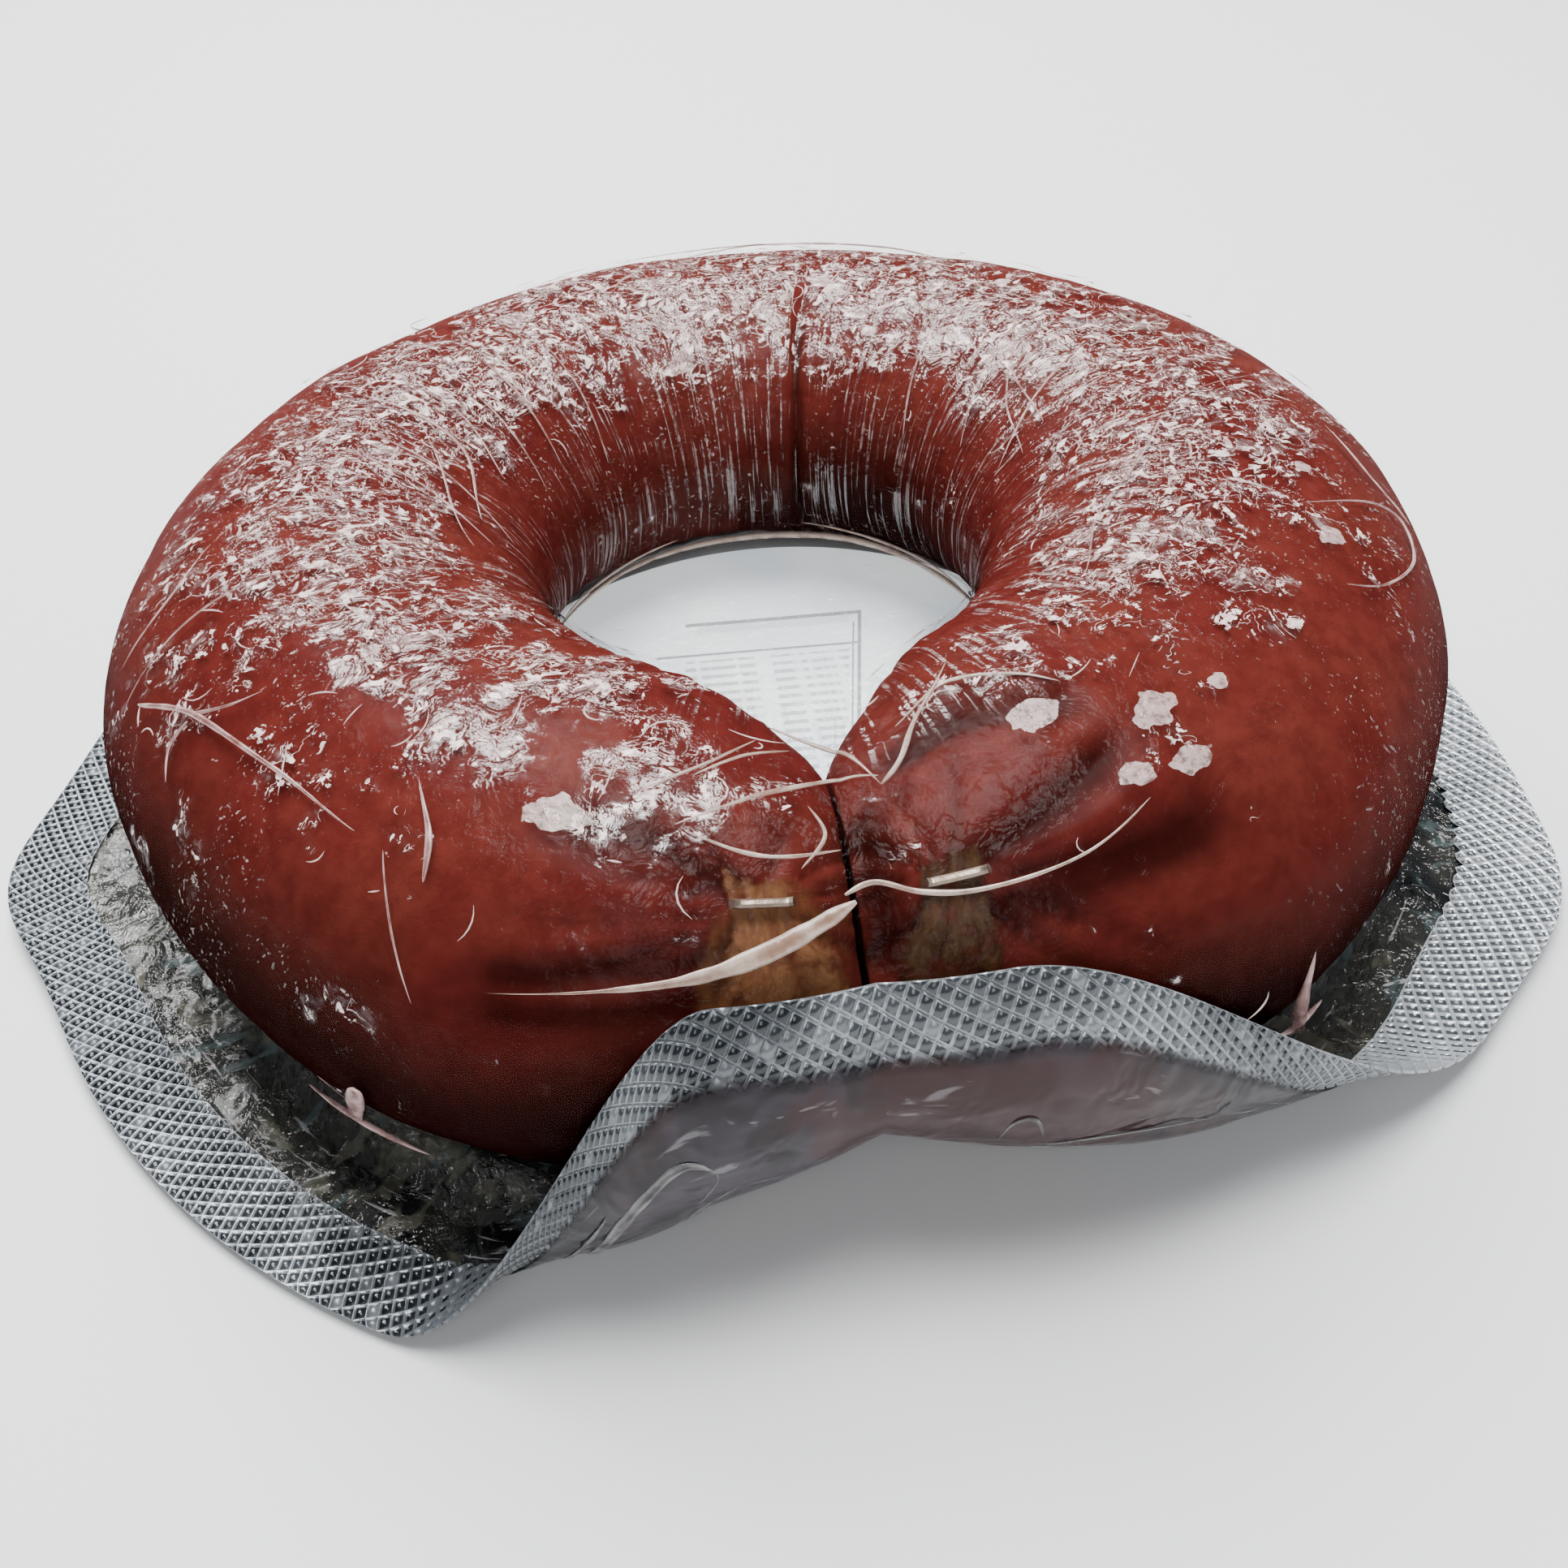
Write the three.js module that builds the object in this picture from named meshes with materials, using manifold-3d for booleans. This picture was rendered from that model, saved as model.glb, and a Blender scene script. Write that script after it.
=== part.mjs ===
// A cured ring sausage in a vacuum pack. Millimetres, +Z up.
// The sausage lies on the pack's base film, bent round an upright axis through the origin. Its two tied
// ends press against each other at the front, -Y, and the ring's back is at +Y.
import * as THREE from 'three';
import { mergeVertices } from 'three/addons/utils/BufferGeometryUtils.js';
import Module from 'manifold-3d';

// ---- driving dimensions ---------------------------------------------------------------------------

// The ring's centre line: its distance from the axis at the sides, the back and the front.
const RING = { side: 60, back: 65.7, front: 67.6 };
// The tube's radial half width and its half height, at the back of the ring and at its ends.
const TUBE = { widthBack: 27.6, widthEnd: 31.5, heightBack: 21.7, heightEnd: 27.2 };
// How the sausage narrows towards its ends: the share of each half size that is left at the end face,
// and the distance over which it grows back to the full tube. The underside narrows the most.
const NOSE = {
  outer: { left: 0.52, over: 46 },
  inner: { left: 0.62, over: 26 },
  upright: { left: 0.72, over: 30 },
  under: { left: 0.5, over: 30 },
};
// The film bridges the groove between the ends, so it narrows less.
const BRIDGE = {
  outer: { left: 0.7, over: 42 },
  inner: { left: 0.7, over: 26 },
  upright: { left: 0.84, over: 30 },
  under: { left: 0.56, over: 30 },
};
const END_GAP = 0.7; // between the two end faces
const BELLY = 1.4; // height of the sausage's flattened underside
const FLATTENING = 1; // how far the tube is pressed into that underside

const FILM = 0.4; // thickness of each film
const SEAL = 0.7; // between the middles of the two films
const SLACK = 0.7; // from the sausage to the middle of the forming film
const LABEL = { radius: 50, thickness: 0.3, gap: 0.3, ramp: 4 };

// The pack's outline: its mean radius, how much longer it is at the front, and where it swells into
// corners or runs straighter. Angles are in degrees from the front, positive towards +X.
const OUTLINE = { mean: 105.5, frontSwing: 2.5 };
const SWELLS = [
  { at: -82, by: 5, width: 8 },
  { at: 60, by: 4, width: 9 },
  { at: -104, by: -2, width: 12 },
  { at: 88, by: -4, width: 13 },
];
const EDGE_LIFT = { mean: 1.4, swing: 1.1, waves: 3 };
const FLANGE_START = 4; // from where the film leaves the tube to where it meets the base film

// The front of the flange is folded up against the ends. Angles in degrees from the front.
const FLAP = { leftFoot: -31, leftTop: -10, rightTop: 8, rightFoot: 46 };
const FLAP_TURN = { from: -48, to: 34 }; // round the tube's section, in degrees
const FLAP_STAND_OFF = { from: 1.7, to: 2.6 }; // from the bridged tube to the folded flange
// Where the foot of the folded flange stands further off, in the fold on its left, or is drawn closer.
const FLAP_FULLNESS = [
  { at: -18, by: 3, width: 6 },
  { at: 3, by: -0.9, width: 7 },
];

// The casing gathered beyond each tie, folded back over the end: distances from the end face, and
// angles in degrees round the section.
const TAIL = { middle: 9.5, neckMiddle: 8, spread: 7.5, neck: 2.2, low: 20, high: 68, proud: 0.8, sunk: 1.2 };
const NECK_SHARE = 0.68; // where along the tail the tie sits
const CLIP = { wire: 0.5, span: 5, curl: 0.4, gap: 0.3 };

// ---- stations -------------------------------------------------------------------------------------

const SLICES = 72; // round the ring
const AROUND = 16; // round the tube
const FILM_TURN = (AROUND * 3) / 4; // the film wraps three quarters of the tube
const FLANGE_STEPS = 4;
const TAIL_STEPS = 6;
const TAIL_CORNERS = 4; // two on the surface and two sunk into the sausage

const { clamp, degToRad, lerp, smoothstep } = THREE.MathUtils;
const UNDERCUT = degToRad(-45); // where the film leaves the tube, on the outside

// ---- the ring -------------------------------------------------------------------------------------

// Every station round the ring is an angle t from the front, in the upright plane through the axis.
function place(t, radius, z, target) {
  return target.set(radius * Math.sin(t), -radius * Math.cos(t), z);
}

function centreRadius(t) {
  const forward = Math.cos(t);
  if (forward > 0) return RING.side + (RING.front - RING.side) * Math.pow(forward, 4);
  return RING.side + (RING.back - RING.side) * forward * forward;
}

// The share of a full half size at a distance s from the end face.
function narrowing(side, s) {
  return side.left + (1 - side.left) * Math.sin((clamp(s / side.over, 0, 1) * Math.PI) / 2);
}

// The tube's section at t: its centre and its half sizes, narrowed towards the ends as nose says.
function section(t, nose) {
  const endness = (1 + Math.cos(t)) / 2;
  const radius = centreRadius(t);
  const s = radius * Math.abs(t);
  const width = lerp(TUBE.widthBack, TUBE.widthEnd, endness);
  const height = lerp(TUBE.heightBack, TUBE.heightEnd, endness);
  return {
    radius,
    level: height + BELLY - FLATTENING,
    outer: width * narrowing(nose.outer, s),
    inner: width * narrowing(nose.inner, s),
    upright: height * narrowing(nose.upright, s),
    under: height * narrowing(nose.under, s),
  };
}

// A point round the section, as distance from the axis and height, moved off the surface by offset.
// The angle a is 0 straight outwards and 90 degrees straight up.
function onTube(cut, a, offset) {
  const across = (Math.cos(a) > 0 ? cut.outer : cut.inner) + offset;
  const up = (Math.sin(a) > 0 ? cut.upright : cut.under) + offset;
  return new THREE.Vector2(cut.radius + across * Math.cos(a), cut.level + up * Math.sin(a));
}

// A closed skin over rows of points: pointAt(row, j, target) gives each point, and the first and the last
// row close to a single point each. Each four-sided cell is split along one diagonal, and from the row
// turnedFrom on along the other, so that the two sides of a thin sheet are split alike.
function closedLoft(rows, around, pointAt, turnedFrom = rows) {
  const point = new THREE.Vector3();
  const positions = [];
  const index = [];
  const at = (i, j) => (i === 0 ? 0 : 1 + (i - 1) * around + (j % around));
  const end = at(rows, 0);
  for (let i = 0; i <= rows; i++) {
    const count = i === 0 || i === rows ? 1 : around;
    for (let j = 0; j < count; j++) positions.push(...pointAt(i, j, point).toArray());
  }
  for (let j = 0; j < around; j++) {
    index.push(0, at(1, j + 1), at(1, j), end, at(rows - 1, j), at(rows - 1, j + 1));
    for (let i = 1; i < rows - 1; i++) {
      const [a, b, c, d] = [at(i, j), at(i, j + 1), at(i + 1, j + 1), at(i + 1, j)];
      if (i < turnedFrom) index.push(a, b, d, b, c, d);
      else index.push(a, b, c, a, c, d);
    }
  }
  const geometry = new THREE.BufferGeometry();
  geometry.setAttribute('position', new THREE.Float32BufferAttribute(positions, 3));
  geometry.setIndex(index);
  geometry.computeVertexNormals();
  return geometry;
}

// ---- the sausage ----------------------------------------------------------------------------------

const stationStep = (2 * Math.PI) / SLICES;
const endAngle = END_GAP / 2 / RING.front;

// The angle of each row, from one end face round the back to the other, closer together at the ends.
function sausageStations() {
  const half = [endAngle, endAngle, stationStep / 2];
  const along = [];
  for (let i = 1; i < SLICES; i++) along.push(i * stationStep);
  return [...half, ...along, ...half.map((t) => 2 * Math.PI - t).reverse()];
}

function sausageGeometry() {
  const stations = sausageStations();
  const last = stations.length - 1;
  return closedLoft(last, AROUND, (i, j, target) => {
    const t = stations[i] > Math.PI ? stations[i] - 2 * Math.PI : stations[i];
    const cut = section(t, NOSE);
    if (i === 0 || i === last) return place(stations[i], cut.radius, cut.level, target);
    const p = onTube(cut, UNDERCUT - (j / AROUND) * 2 * Math.PI, 0);
    return place(stations[i], p.x, Math.max(p.y, BELLY), target);
  });
}

// Half the tail's width and its middle's distance from the end face, at a share f of the way up it.
function tailSpan(f) {
  const g = Math.min(f / NECK_SHARE, 1);
  return { half: lerp(TAIL.spread, TAIL.neck, g), middle: lerp(TAIL.middle, TAIL.neckMiddle, g) };
}

// A tail: a fan pressed flat on the sausage, side -1 on the left end and 1 on the right one.
function tailGeometry(side) {
  const last = TAIL_STEPS + 2;
  return closedLoft(last, TAIL_CORNERS, (i, j, target) => {
    const f = clamp((i - 1) / TAIL_STEPS, 0, 1);
    const { half, middle } = tailSpan(f);
    const closing = i === 0 || i === last;
    const far = (j === 1 || j === 2 ? 1 : -1) * side;
    const s = middle + (closing ? 0 : far * half);
    const depth = closing ? 0 : j < 2 ? TAIL.proud : -TAIL.sunk;
    const t = (side * s) / RING.front;
    const p = onTube(section(t, NOSE), degToRad(lerp(TAIL.low, TAIL.high, f)), depth);
    return place(t, p.x, p.y, target);
  });
}

// ---- the clips ------------------------------------------------------------------------------------

// A wire bar across the tail's neck, its two ends curled out of the casing.
function clipGeometry(side) {
  const angle = degToRad(lerp(TAIL.low, TAIL.high, NECK_SHARE));
  const rise = TAIL.proud + CLIP.gap + CLIP.wire;
  const points = [-1, -0.8, -0.3, 0.3, 0.8, 1].map((x) => {
    const t = (side * (TAIL.neckMiddle + (x * CLIP.span) / 2)) / RING.front;
    const p = onTube(section(t, NOSE), angle, rise);
    const curl = Math.abs(x) === 1 ? CLIP.curl : 0;
    return place(t, p.x + curl * Math.cos(angle), p.y + curl * Math.sin(angle), new THREE.Vector3());
  });
  const wire = new THREE.Shape().absarc(0, 0, CLIP.wire, 0, 2 * Math.PI);
  const path = new THREE.CatmullRomCurve3(points);
  return new THREE.ExtrudeGeometry(wire, { steps: 14, curveSegments: 4, bevelEnabled: false, extrudePath: path });
}

// ---- the films ------------------------------------------------------------------------------------

// The middle height of the base film under the hole of the ring: it is lifted by the label below it.
function baseHeight(radius) {
  const lifted = LABEL.thickness + LABEL.gap + FILM / 2;
  const share = clamp((radius - LABEL.radius - 1) / LABEL.ramp, 0, 1);
  return lerp(lifted, FILM / 2, share);
}

// The sum of a list of swells at t.
function bulge(t, swells) {
  const degrees = THREE.MathUtils.radToDeg(t);
  return swells.reduce((sum, { at, by, width }) => sum + by * Math.exp(-(((degrees - at) / width) ** 2)), 0);
}

function outlineRadius(t) {
  return OUTLINE.mean + OUTLINE.frontSwing * Math.cos(t) + bulge(t, SWELLS);
}

// How far the flange is folded up at t: 0 is flat and 1 is upright.
function flapShare(t) {
  const degrees = THREE.MathUtils.radToDeg(t);
  if (degrees < FLAP.leftTop) return smoothstep(degrees, FLAP.leftFoot, FLAP.leftTop);
  return 1 - smoothstep(degrees, FLAP.rightTop, FLAP.rightFoot);
}

// The middle of the forming film on the flange, at a share w of the way from the tube to the edge.
function flangePoint(t, w) {
  const cut = section(t, BRIDGE);
  const start = cut.radius + (cut.outer + SLACK) * Math.cos(UNDERCUT) + FLANGE_START;
  const lift = EDGE_LIFT.mean + EDGE_LIFT.swing * Math.sin(EDGE_LIFT.waves * t);
  const flat = new THREE.Vector2(lerp(start, outlineRadius(t), w), FILM / 2 + SEAL + lift * w * w);
  const turn = degToRad(lerp(FLAP_TURN.from, FLAP_TURN.to, w));
  const foot = FLAP_STAND_OFF.from + bulge(t, FLAP_FULLNESS);
  const standOff = lerp(foot, FLAP_STAND_OFF.to, w);
  return flat.lerp(onTube(cut, turn, standOff), flapShare(t));
}

// The base film runs under the forming film's flange, a seal's thickness away from it.
function baseFlangePoint(t, w) {
  const along = flangePoint(t, w + 0.02).sub(flangePoint(t, w - 0.02)).normalize();
  return flangePoint(t, w).add(new THREE.Vector2(along.y, -along.x).multiplyScalar(SEAL));
}

function formingPath(t) {
  const cut = section(t, BRIDGE);
  const foot = cut.radius - cut.inner / 2;
  const path = [0, 0.5, 0.85, 1].map((share) => {
    const radius = share * foot;
    return new THREE.Vector2(radius, baseHeight(radius) + SEAL);
  });
  for (let i = 0; i <= FILM_TURN; i++) {
    path.push(onTube(cut, UNDERCUT + ((FILM_TURN - i) / AROUND) * 2 * Math.PI, SLACK));
  }
  for (let i = 0; i <= FLANGE_STEPS; i++) path.push(flangePoint(t, i / FLANGE_STEPS));
  return path;
}

function basePath(t) {
  const cut = section(t, BRIDGE);
  const rim = LABEL.radius + 1;
  const radii = [0, rim / 2, rim, rim + LABEL.ramp, cut.radius + cut.outer * 0.3];
  const path = radii.map((radius) => new THREE.Vector2(radius, baseHeight(radius)));
  for (let i = 0; i <= FLANGE_STEPS; i++) path.push(baseFlangePoint(t, i / FLANGE_STEPS));
  return path;
}

// A sheet round the whole ring: path(t) is the middle of its section, from the axis to its edge.
function sheetGeometry(path) {
  const count = path(0).length;
  const angles = Array.from({ length: SLICES }, (_, j) => Math.PI - j * stationStep);
  const sections = angles.map(path);
  const pointAt = (i, j, target) => {
    const points = sections[j];
    const onTop = i < count;
    const k = onTop ? i : 2 * count - 1 - i;
    const before = points[Math.max(k - 1, 0)];
    const after = points[Math.min(k + 1, count - 1)];
    const along = after.clone().sub(before).normalize();
    if (k === 0) along.set(1, 0);
    const half = onTop ? FILM / 2 : -FILM / 2;
    return place(angles[j], points[k].x - along.y * half, points[k].y + along.x * half, target);
  };
  return closedLoft(2 * count - 1, SLICES, pointAt, count);
}

// ---- joining --------------------------------------------------------------------------------------

const wasm = await Module();
wasm.setup();

function toSolid(geometry) {
  const bare = new THREE.BufferGeometry().setAttribute('position', geometry.getAttribute('position'));
  bare.setIndex(geometry.index);
  const merged = mergeVertices(bare, 1e-4);
  return new wasm.Manifold(
    new wasm.Mesh({
      numProp: 3,
      vertProperties: merged.attributes.position.array,
      triVerts: new Uint32Array(merged.index.array),
    }),
  );
}

function toGeometry(solid) {
  const mesh = solid.getMesh();
  const geometry = new THREE.BufferGeometry();
  geometry.setAttribute('position', new THREE.BufferAttribute(mesh.vertProperties, mesh.numProp));
  geometry.setIndex(new THREE.BufferAttribute(mesh.triVerts, 1));
  geometry.computeVertexNormals();
  return geometry;
}

// ---- the pieces -----------------------------------------------------------------------------------

const casing = new THREE.MeshStandardMaterial({ color: 0x9c4436, roughness: 0.45, metalness: 0 });
const clearFilm = new THREE.MeshStandardMaterial({
  color: 0xc9ccd0,
  roughness: 0.12,
  metalness: 0,
  transparent: true,
  opacity: 0.35,
});
const paper = new THREE.MeshStandardMaterial({ color: 0xe6ebed, roughness: 0.7, metalness: 0 });
const clipMetal = new THREE.MeshStandardMaterial({ color: 0xc4c6c8, roughness: 0.3, metalness: 1 });

function piece(name, geometry, material) {
  const mesh = new THREE.Mesh(geometry, material);
  mesh.name = name;
  return mesh;
}

const sausage = toSolid(sausageGeometry()).add(toSolid(tailGeometry(-1))).add(toSolid(tailGeometry(1)));
const label = new THREE.CylinderGeometry(LABEL.radius, LABEL.radius, LABEL.thickness, SLICES);
label.rotateX(Math.PI / 2).translate(0, 0, LABEL.thickness / 2);

const pack = new THREE.Group();
pack.add(
  piece('sausage', toGeometry(sausage), casing),
  piece('end_clip_left', clipGeometry(-1), clipMetal),
  piece('end_clip_right', clipGeometry(1), clipMetal),
  piece('forming_film', sheetGeometry(formingPath), clearFilm),
  piece('base_film', sheetGeometry(basePath), clearFilm),
  piece('label', label, paper),
);

export default pack;
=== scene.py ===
"""A cured ring sausage in its vacuum pack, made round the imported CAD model.

The sausage lies bent round the Z axis with its two tied ends pressed together at the front, -Y.
A clear film is drawn down over it and sealed to a base film along an embossed band, and the front
of the flange is folded up against the ends. Shapes are worked out in millimetres and turned into
metres in make_mesh.

A place on the tube is given by two angles: t goes round the ring from the front, towards +X, and a
goes round the tube's section from its outer side, up over the crest.
"""

import math

import bpy
import numpy as np
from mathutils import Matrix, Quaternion, Vector


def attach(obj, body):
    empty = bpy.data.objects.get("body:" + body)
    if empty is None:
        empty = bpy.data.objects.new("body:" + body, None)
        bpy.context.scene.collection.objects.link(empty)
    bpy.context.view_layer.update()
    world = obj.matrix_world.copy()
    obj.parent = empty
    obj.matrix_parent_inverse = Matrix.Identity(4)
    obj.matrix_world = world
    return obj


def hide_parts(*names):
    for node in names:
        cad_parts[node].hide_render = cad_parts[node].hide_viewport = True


bl_info = {
    "name": "Packed Ring Sausage",
    "version": (1, 0, 0),
    "blender": (4, 5, 0),
    "location": "View3D > Sidebar > Sausage",
    "description": "Makes a cured ring sausage in its vacuum pack",
    "category": "Object",
}

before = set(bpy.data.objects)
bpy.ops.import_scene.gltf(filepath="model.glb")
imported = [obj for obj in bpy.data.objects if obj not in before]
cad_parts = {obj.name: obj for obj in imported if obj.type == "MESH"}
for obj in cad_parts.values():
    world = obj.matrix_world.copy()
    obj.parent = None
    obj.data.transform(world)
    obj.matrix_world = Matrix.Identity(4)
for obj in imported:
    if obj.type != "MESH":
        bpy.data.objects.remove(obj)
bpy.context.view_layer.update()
BODY = "root"
MM = 0.001

# ---- sizes shared with the CAD model, in millimetres and degrees ---------------------

RING_SIDE, RING_BACK, RING_FRONT = 60.0, 65.7, 67.6
WIDTH_BACK, WIDTH_END, HEIGHT_BACK, HEIGHT_END = 27.6, 31.5, 21.7, 27.2
# How each half size narrows towards the end faces: the share left there, and over what distance.
NOSE = {
    "outer": (0.52, 46.0),
    "inner": (0.62, 26.0),
    "upright": (0.72, 30.0),
    "under": (0.5, 30.0),
}
BRIDGE = {
    "outer": (0.7, 42.0),
    "inner": (0.7, 26.0),
    "upright": (0.84, 30.0),
    "under": (0.56, 30.0),
}
END_GAP = 0.7
BELLY, FLATTENING = 1.4, 1.0
FILM, SEAL, SLACK = 0.4, 0.7, 0.7
LABEL_RADIUS, LABEL_THICKNESS, LABEL_GAP, LABEL_RAMP = 50.0, 0.3, 0.3, 4.0
OUTLINE_MEAN, OUTLINE_SWING = 105.5, 2.5
SWELLS = ((-82, 5, 8), (60, 4, 9), (-104, -2, 12), (88, -4, 13))
EDGE_LIFT, EDGE_SWING, EDGE_WAVES = 1.4, 1.1, 3
FLANGE_START = 4.0
FLAP_LEFT, FLAP_RIGHT = (-31, -10), (8, 46)
FLAP_TURN, FLAP_STAND_OFF = (-48, 34), (1.7, 2.6)
FLAP_FULLNESS = ((-18, 3, 6), (3, -0.9, 7))
UNDERCUT = math.radians(-45)
UNDER_WALL = math.radians(225)
# Millimetres over the surface for each radian of t, in general and near the ends, and of a.
T_RUN, END_RUN, A_RUN = 62.0, 66.0, 27.0
LABEL_COLUMNS, LABEL_RUN = 144, 30.0
TAIL_THICKNESS, SHEET_THICKNESS = 0.25, 0.12


# ---- the ring ------------------------------------------------------------------------


def lerp(a, b, share):
    return a + (b - a) * share


def smooth(x, low, high):
    """0 below low, 1 above high, and an even slope between them."""
    share = np.clip((x - low) / (high - low), 0, 1)
    return share * share * (3 - 2 * share)


def bell(x, middle, width):
    return np.exp(-(((x - middle) / width) ** 2))


def turned(t):
    """An angle round the ring brought to between -pi and pi, 0 at the front."""
    return (np.asarray(t, float) + np.pi) % (2 * np.pi) - np.pi


def place(t, radius, height):
    return np.stack(np.broadcast_arrays(radius * np.sin(t), -radius * np.cos(t), height), -1)


def round_the_ring(columns):
    """Angles once round the ring, the last one where the first one is."""
    return np.linspace(0, 2 * np.pi, columns + 1)


def centre_radius(t):
    forward = np.cos(t)
    front = lerp(RING_SIDE, RING_FRONT, forward**4)
    back = lerp(RING_SIDE, RING_BACK, forward**2)
    return np.where(forward > 0, front, back)


def narrowing(side, from_end):
    left, over = side
    return left + (1 - left) * np.sin(np.pi / 2 * np.clip(from_end / over, 0, 1))


class Section:
    """The tube's section at t: its centre and its half sizes, narrowed towards the ends."""

    def __init__(self, t, ends):
        t = turned(t)
        endness = (1 + np.cos(t)) / 2
        self.radius = centre_radius(t)
        from_end = self.radius * np.abs(t)
        width = lerp(WIDTH_BACK, WIDTH_END, endness)
        height = lerp(HEIGHT_BACK, HEIGHT_END, endness)
        self.level = height + BELLY - FLATTENING
        self.outer = width * narrowing(ends["outer"], from_end)
        self.inner = width * narrowing(ends["inner"], from_end)
        self.upright = height * narrowing(ends["upright"], from_end)
        self.under = height * narrowing(ends["under"], from_end)

    def at(self, a, offset=0.0):
        """Distance from the axis and height at the angle a, offset further out."""
        across = np.where(np.cos(a) > 0, self.outer, self.inner) + offset
        up = np.where(np.sin(a) > 0, self.upright, self.under) + offset
        return self.radius + across * np.cos(a), self.level + up * np.sin(a)


def base_height(radius):
    """The base film's middle height under the hole, where the label below lifts it."""
    lifted = LABEL_THICKNESS + LABEL_GAP + FILM / 2
    return lerp(lifted, FILM / 2, np.clip((radius - LABEL_RADIUS - 1) / LABEL_RAMP, 0, 1))


def bulge(t, swells):
    """The sum of swells, each given by its middle in degrees, its height and its width."""
    return sum(by * bell(np.degrees(turned(t)), middle, width) for middle, by, width in swells)


def outline_radius(t):
    return OUTLINE_MEAN + OUTLINE_SWING * np.cos(t) + bulge(t, SWELLS)


def flap_share(t):
    """How far the flange is folded up at t: 0 is flat and 1 is upright."""
    degrees = np.degrees(turned(t))
    return smooth(degrees, *FLAP_LEFT) * (1 - smooth(degrees, *FLAP_RIGHT))


def flange(t, w, offset=0.0):
    """Distance from the axis and height on the flange: w goes from the tube to the pack's edge."""
    cut = Section(t, BRIDGE)
    start = cut.radius + (cut.outer + SLACK) * math.cos(UNDERCUT) + FLANGE_START
    lift = EDGE_LIFT + EDGE_SWING * np.sin(EDGE_WAVES * turned(t))
    flat = lerp(start, outline_radius(t), w), FILM / 2 + SEAL + lift * w**2 + offset
    turn = np.radians(lerp(*FLAP_TURN, w))
    foot, top = FLAP_STAND_OFF
    folded = cut.at(turn, lerp(foot + bulge(t, FLAP_FULLNESS), top, w) - offset)
    share = flap_share(t)
    return lerp(flat[0], folded[0], share), lerp(flat[1], folded[1], share)


def flange_length(t):
    w = np.linspace(0, 1, 13)[:, None]
    radius, height = flange(t[None, :], w)
    return np.hypot(np.diff(radius, axis=0), np.diff(height, axis=0)).sum(0)


def rough(points, size, seed):
    """Smooth noise, about -1 to 1, with features of about size millimetres."""
    where = np.asarray(points, float) / size + seed * 7.31
    cell = np.floor(where)
    part = where - cell
    ease = part * part * part * (part * (part * 6 - 15) + 10)
    total = np.zeros(where.shape[:-1])
    for corner in np.ndindex(2, 2, 2):
        corner = np.array(corner)
        mixed = (cell + corner) @ np.array([127.1, 311.7, 74.7])
        slope = np.stack([np.modf(np.sin(mixed * k) * 43758.5453)[0] for k in (1.0, 1.7, 2.3)], -1)
        weight = np.where(corner == 1, ease, 1 - ease).prod(-1)
        total += weight * (slope * (part - corner)).sum(-1)
    return total * 1.4


def along_and_around(t, a, across_size, along_size, seed):
    """Noise drawn out round the tube's section: across_size is its pitch along the ring."""
    turns = RING_SIDE / across_size
    axes = turns * np.cos(t), turns * np.sin(t), a * A_RUN / along_size
    return rough(np.stack(np.broadcast_arrays(*axes), -1), 1.0, seed)


def from_line(t, a, line):
    """Distance over the surface from a line through places (t, a) given in degrees."""
    x, y = turned(t) * T_RUN, a * A_RUN
    nearest = np.full(np.broadcast(x, y).shape, np.inf)
    stops = [(math.radians(p) * T_RUN, math.radians(q) * A_RUN) for p, q in line]
    for (x0, y0), (x1, y1) in zip(stops, stops[1:]):
        dx, dy = x1 - x0, y1 - y0
        share = np.clip(((x - x0) * dx + (y - y0) * dy) / (dx * dx + dy * dy), 0, 1)
        nearest = np.minimum(nearest, np.hypot(x - x0 - share * dx, y - y0 - share * dy))
    return nearest


# ---- meshes --------------------------------------------------------------------------


def make_mesh(name, points, faces, corner_uv=None, attributes=None):
    """A finished piece from points in millimetres, with its own UV map and attributes."""
    mesh = bpy.data.meshes.new(name)
    mesh.from_pydata((np.asarray(points, float).reshape(-1, 3) * MM).tolist(), [], faces)
    if corner_uv is not None:
        layer = mesh.uv_layers.new(name="surface")
        layer.data.foreach_set("uv", np.asarray(corner_uv, np.float32).ravel())
    for key, values in (attributes or {}).items():
        attribute = mesh.attributes.new(key, "FLOAT", "POINT")
        attribute.data.foreach_set("value", np.asarray(values, np.float32).ravel())
    mesh.shade_smooth()
    piece = bpy.data.objects.new(name, mesh)
    bpy.context.scene.collection.objects.link(piece)
    return piece


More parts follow.
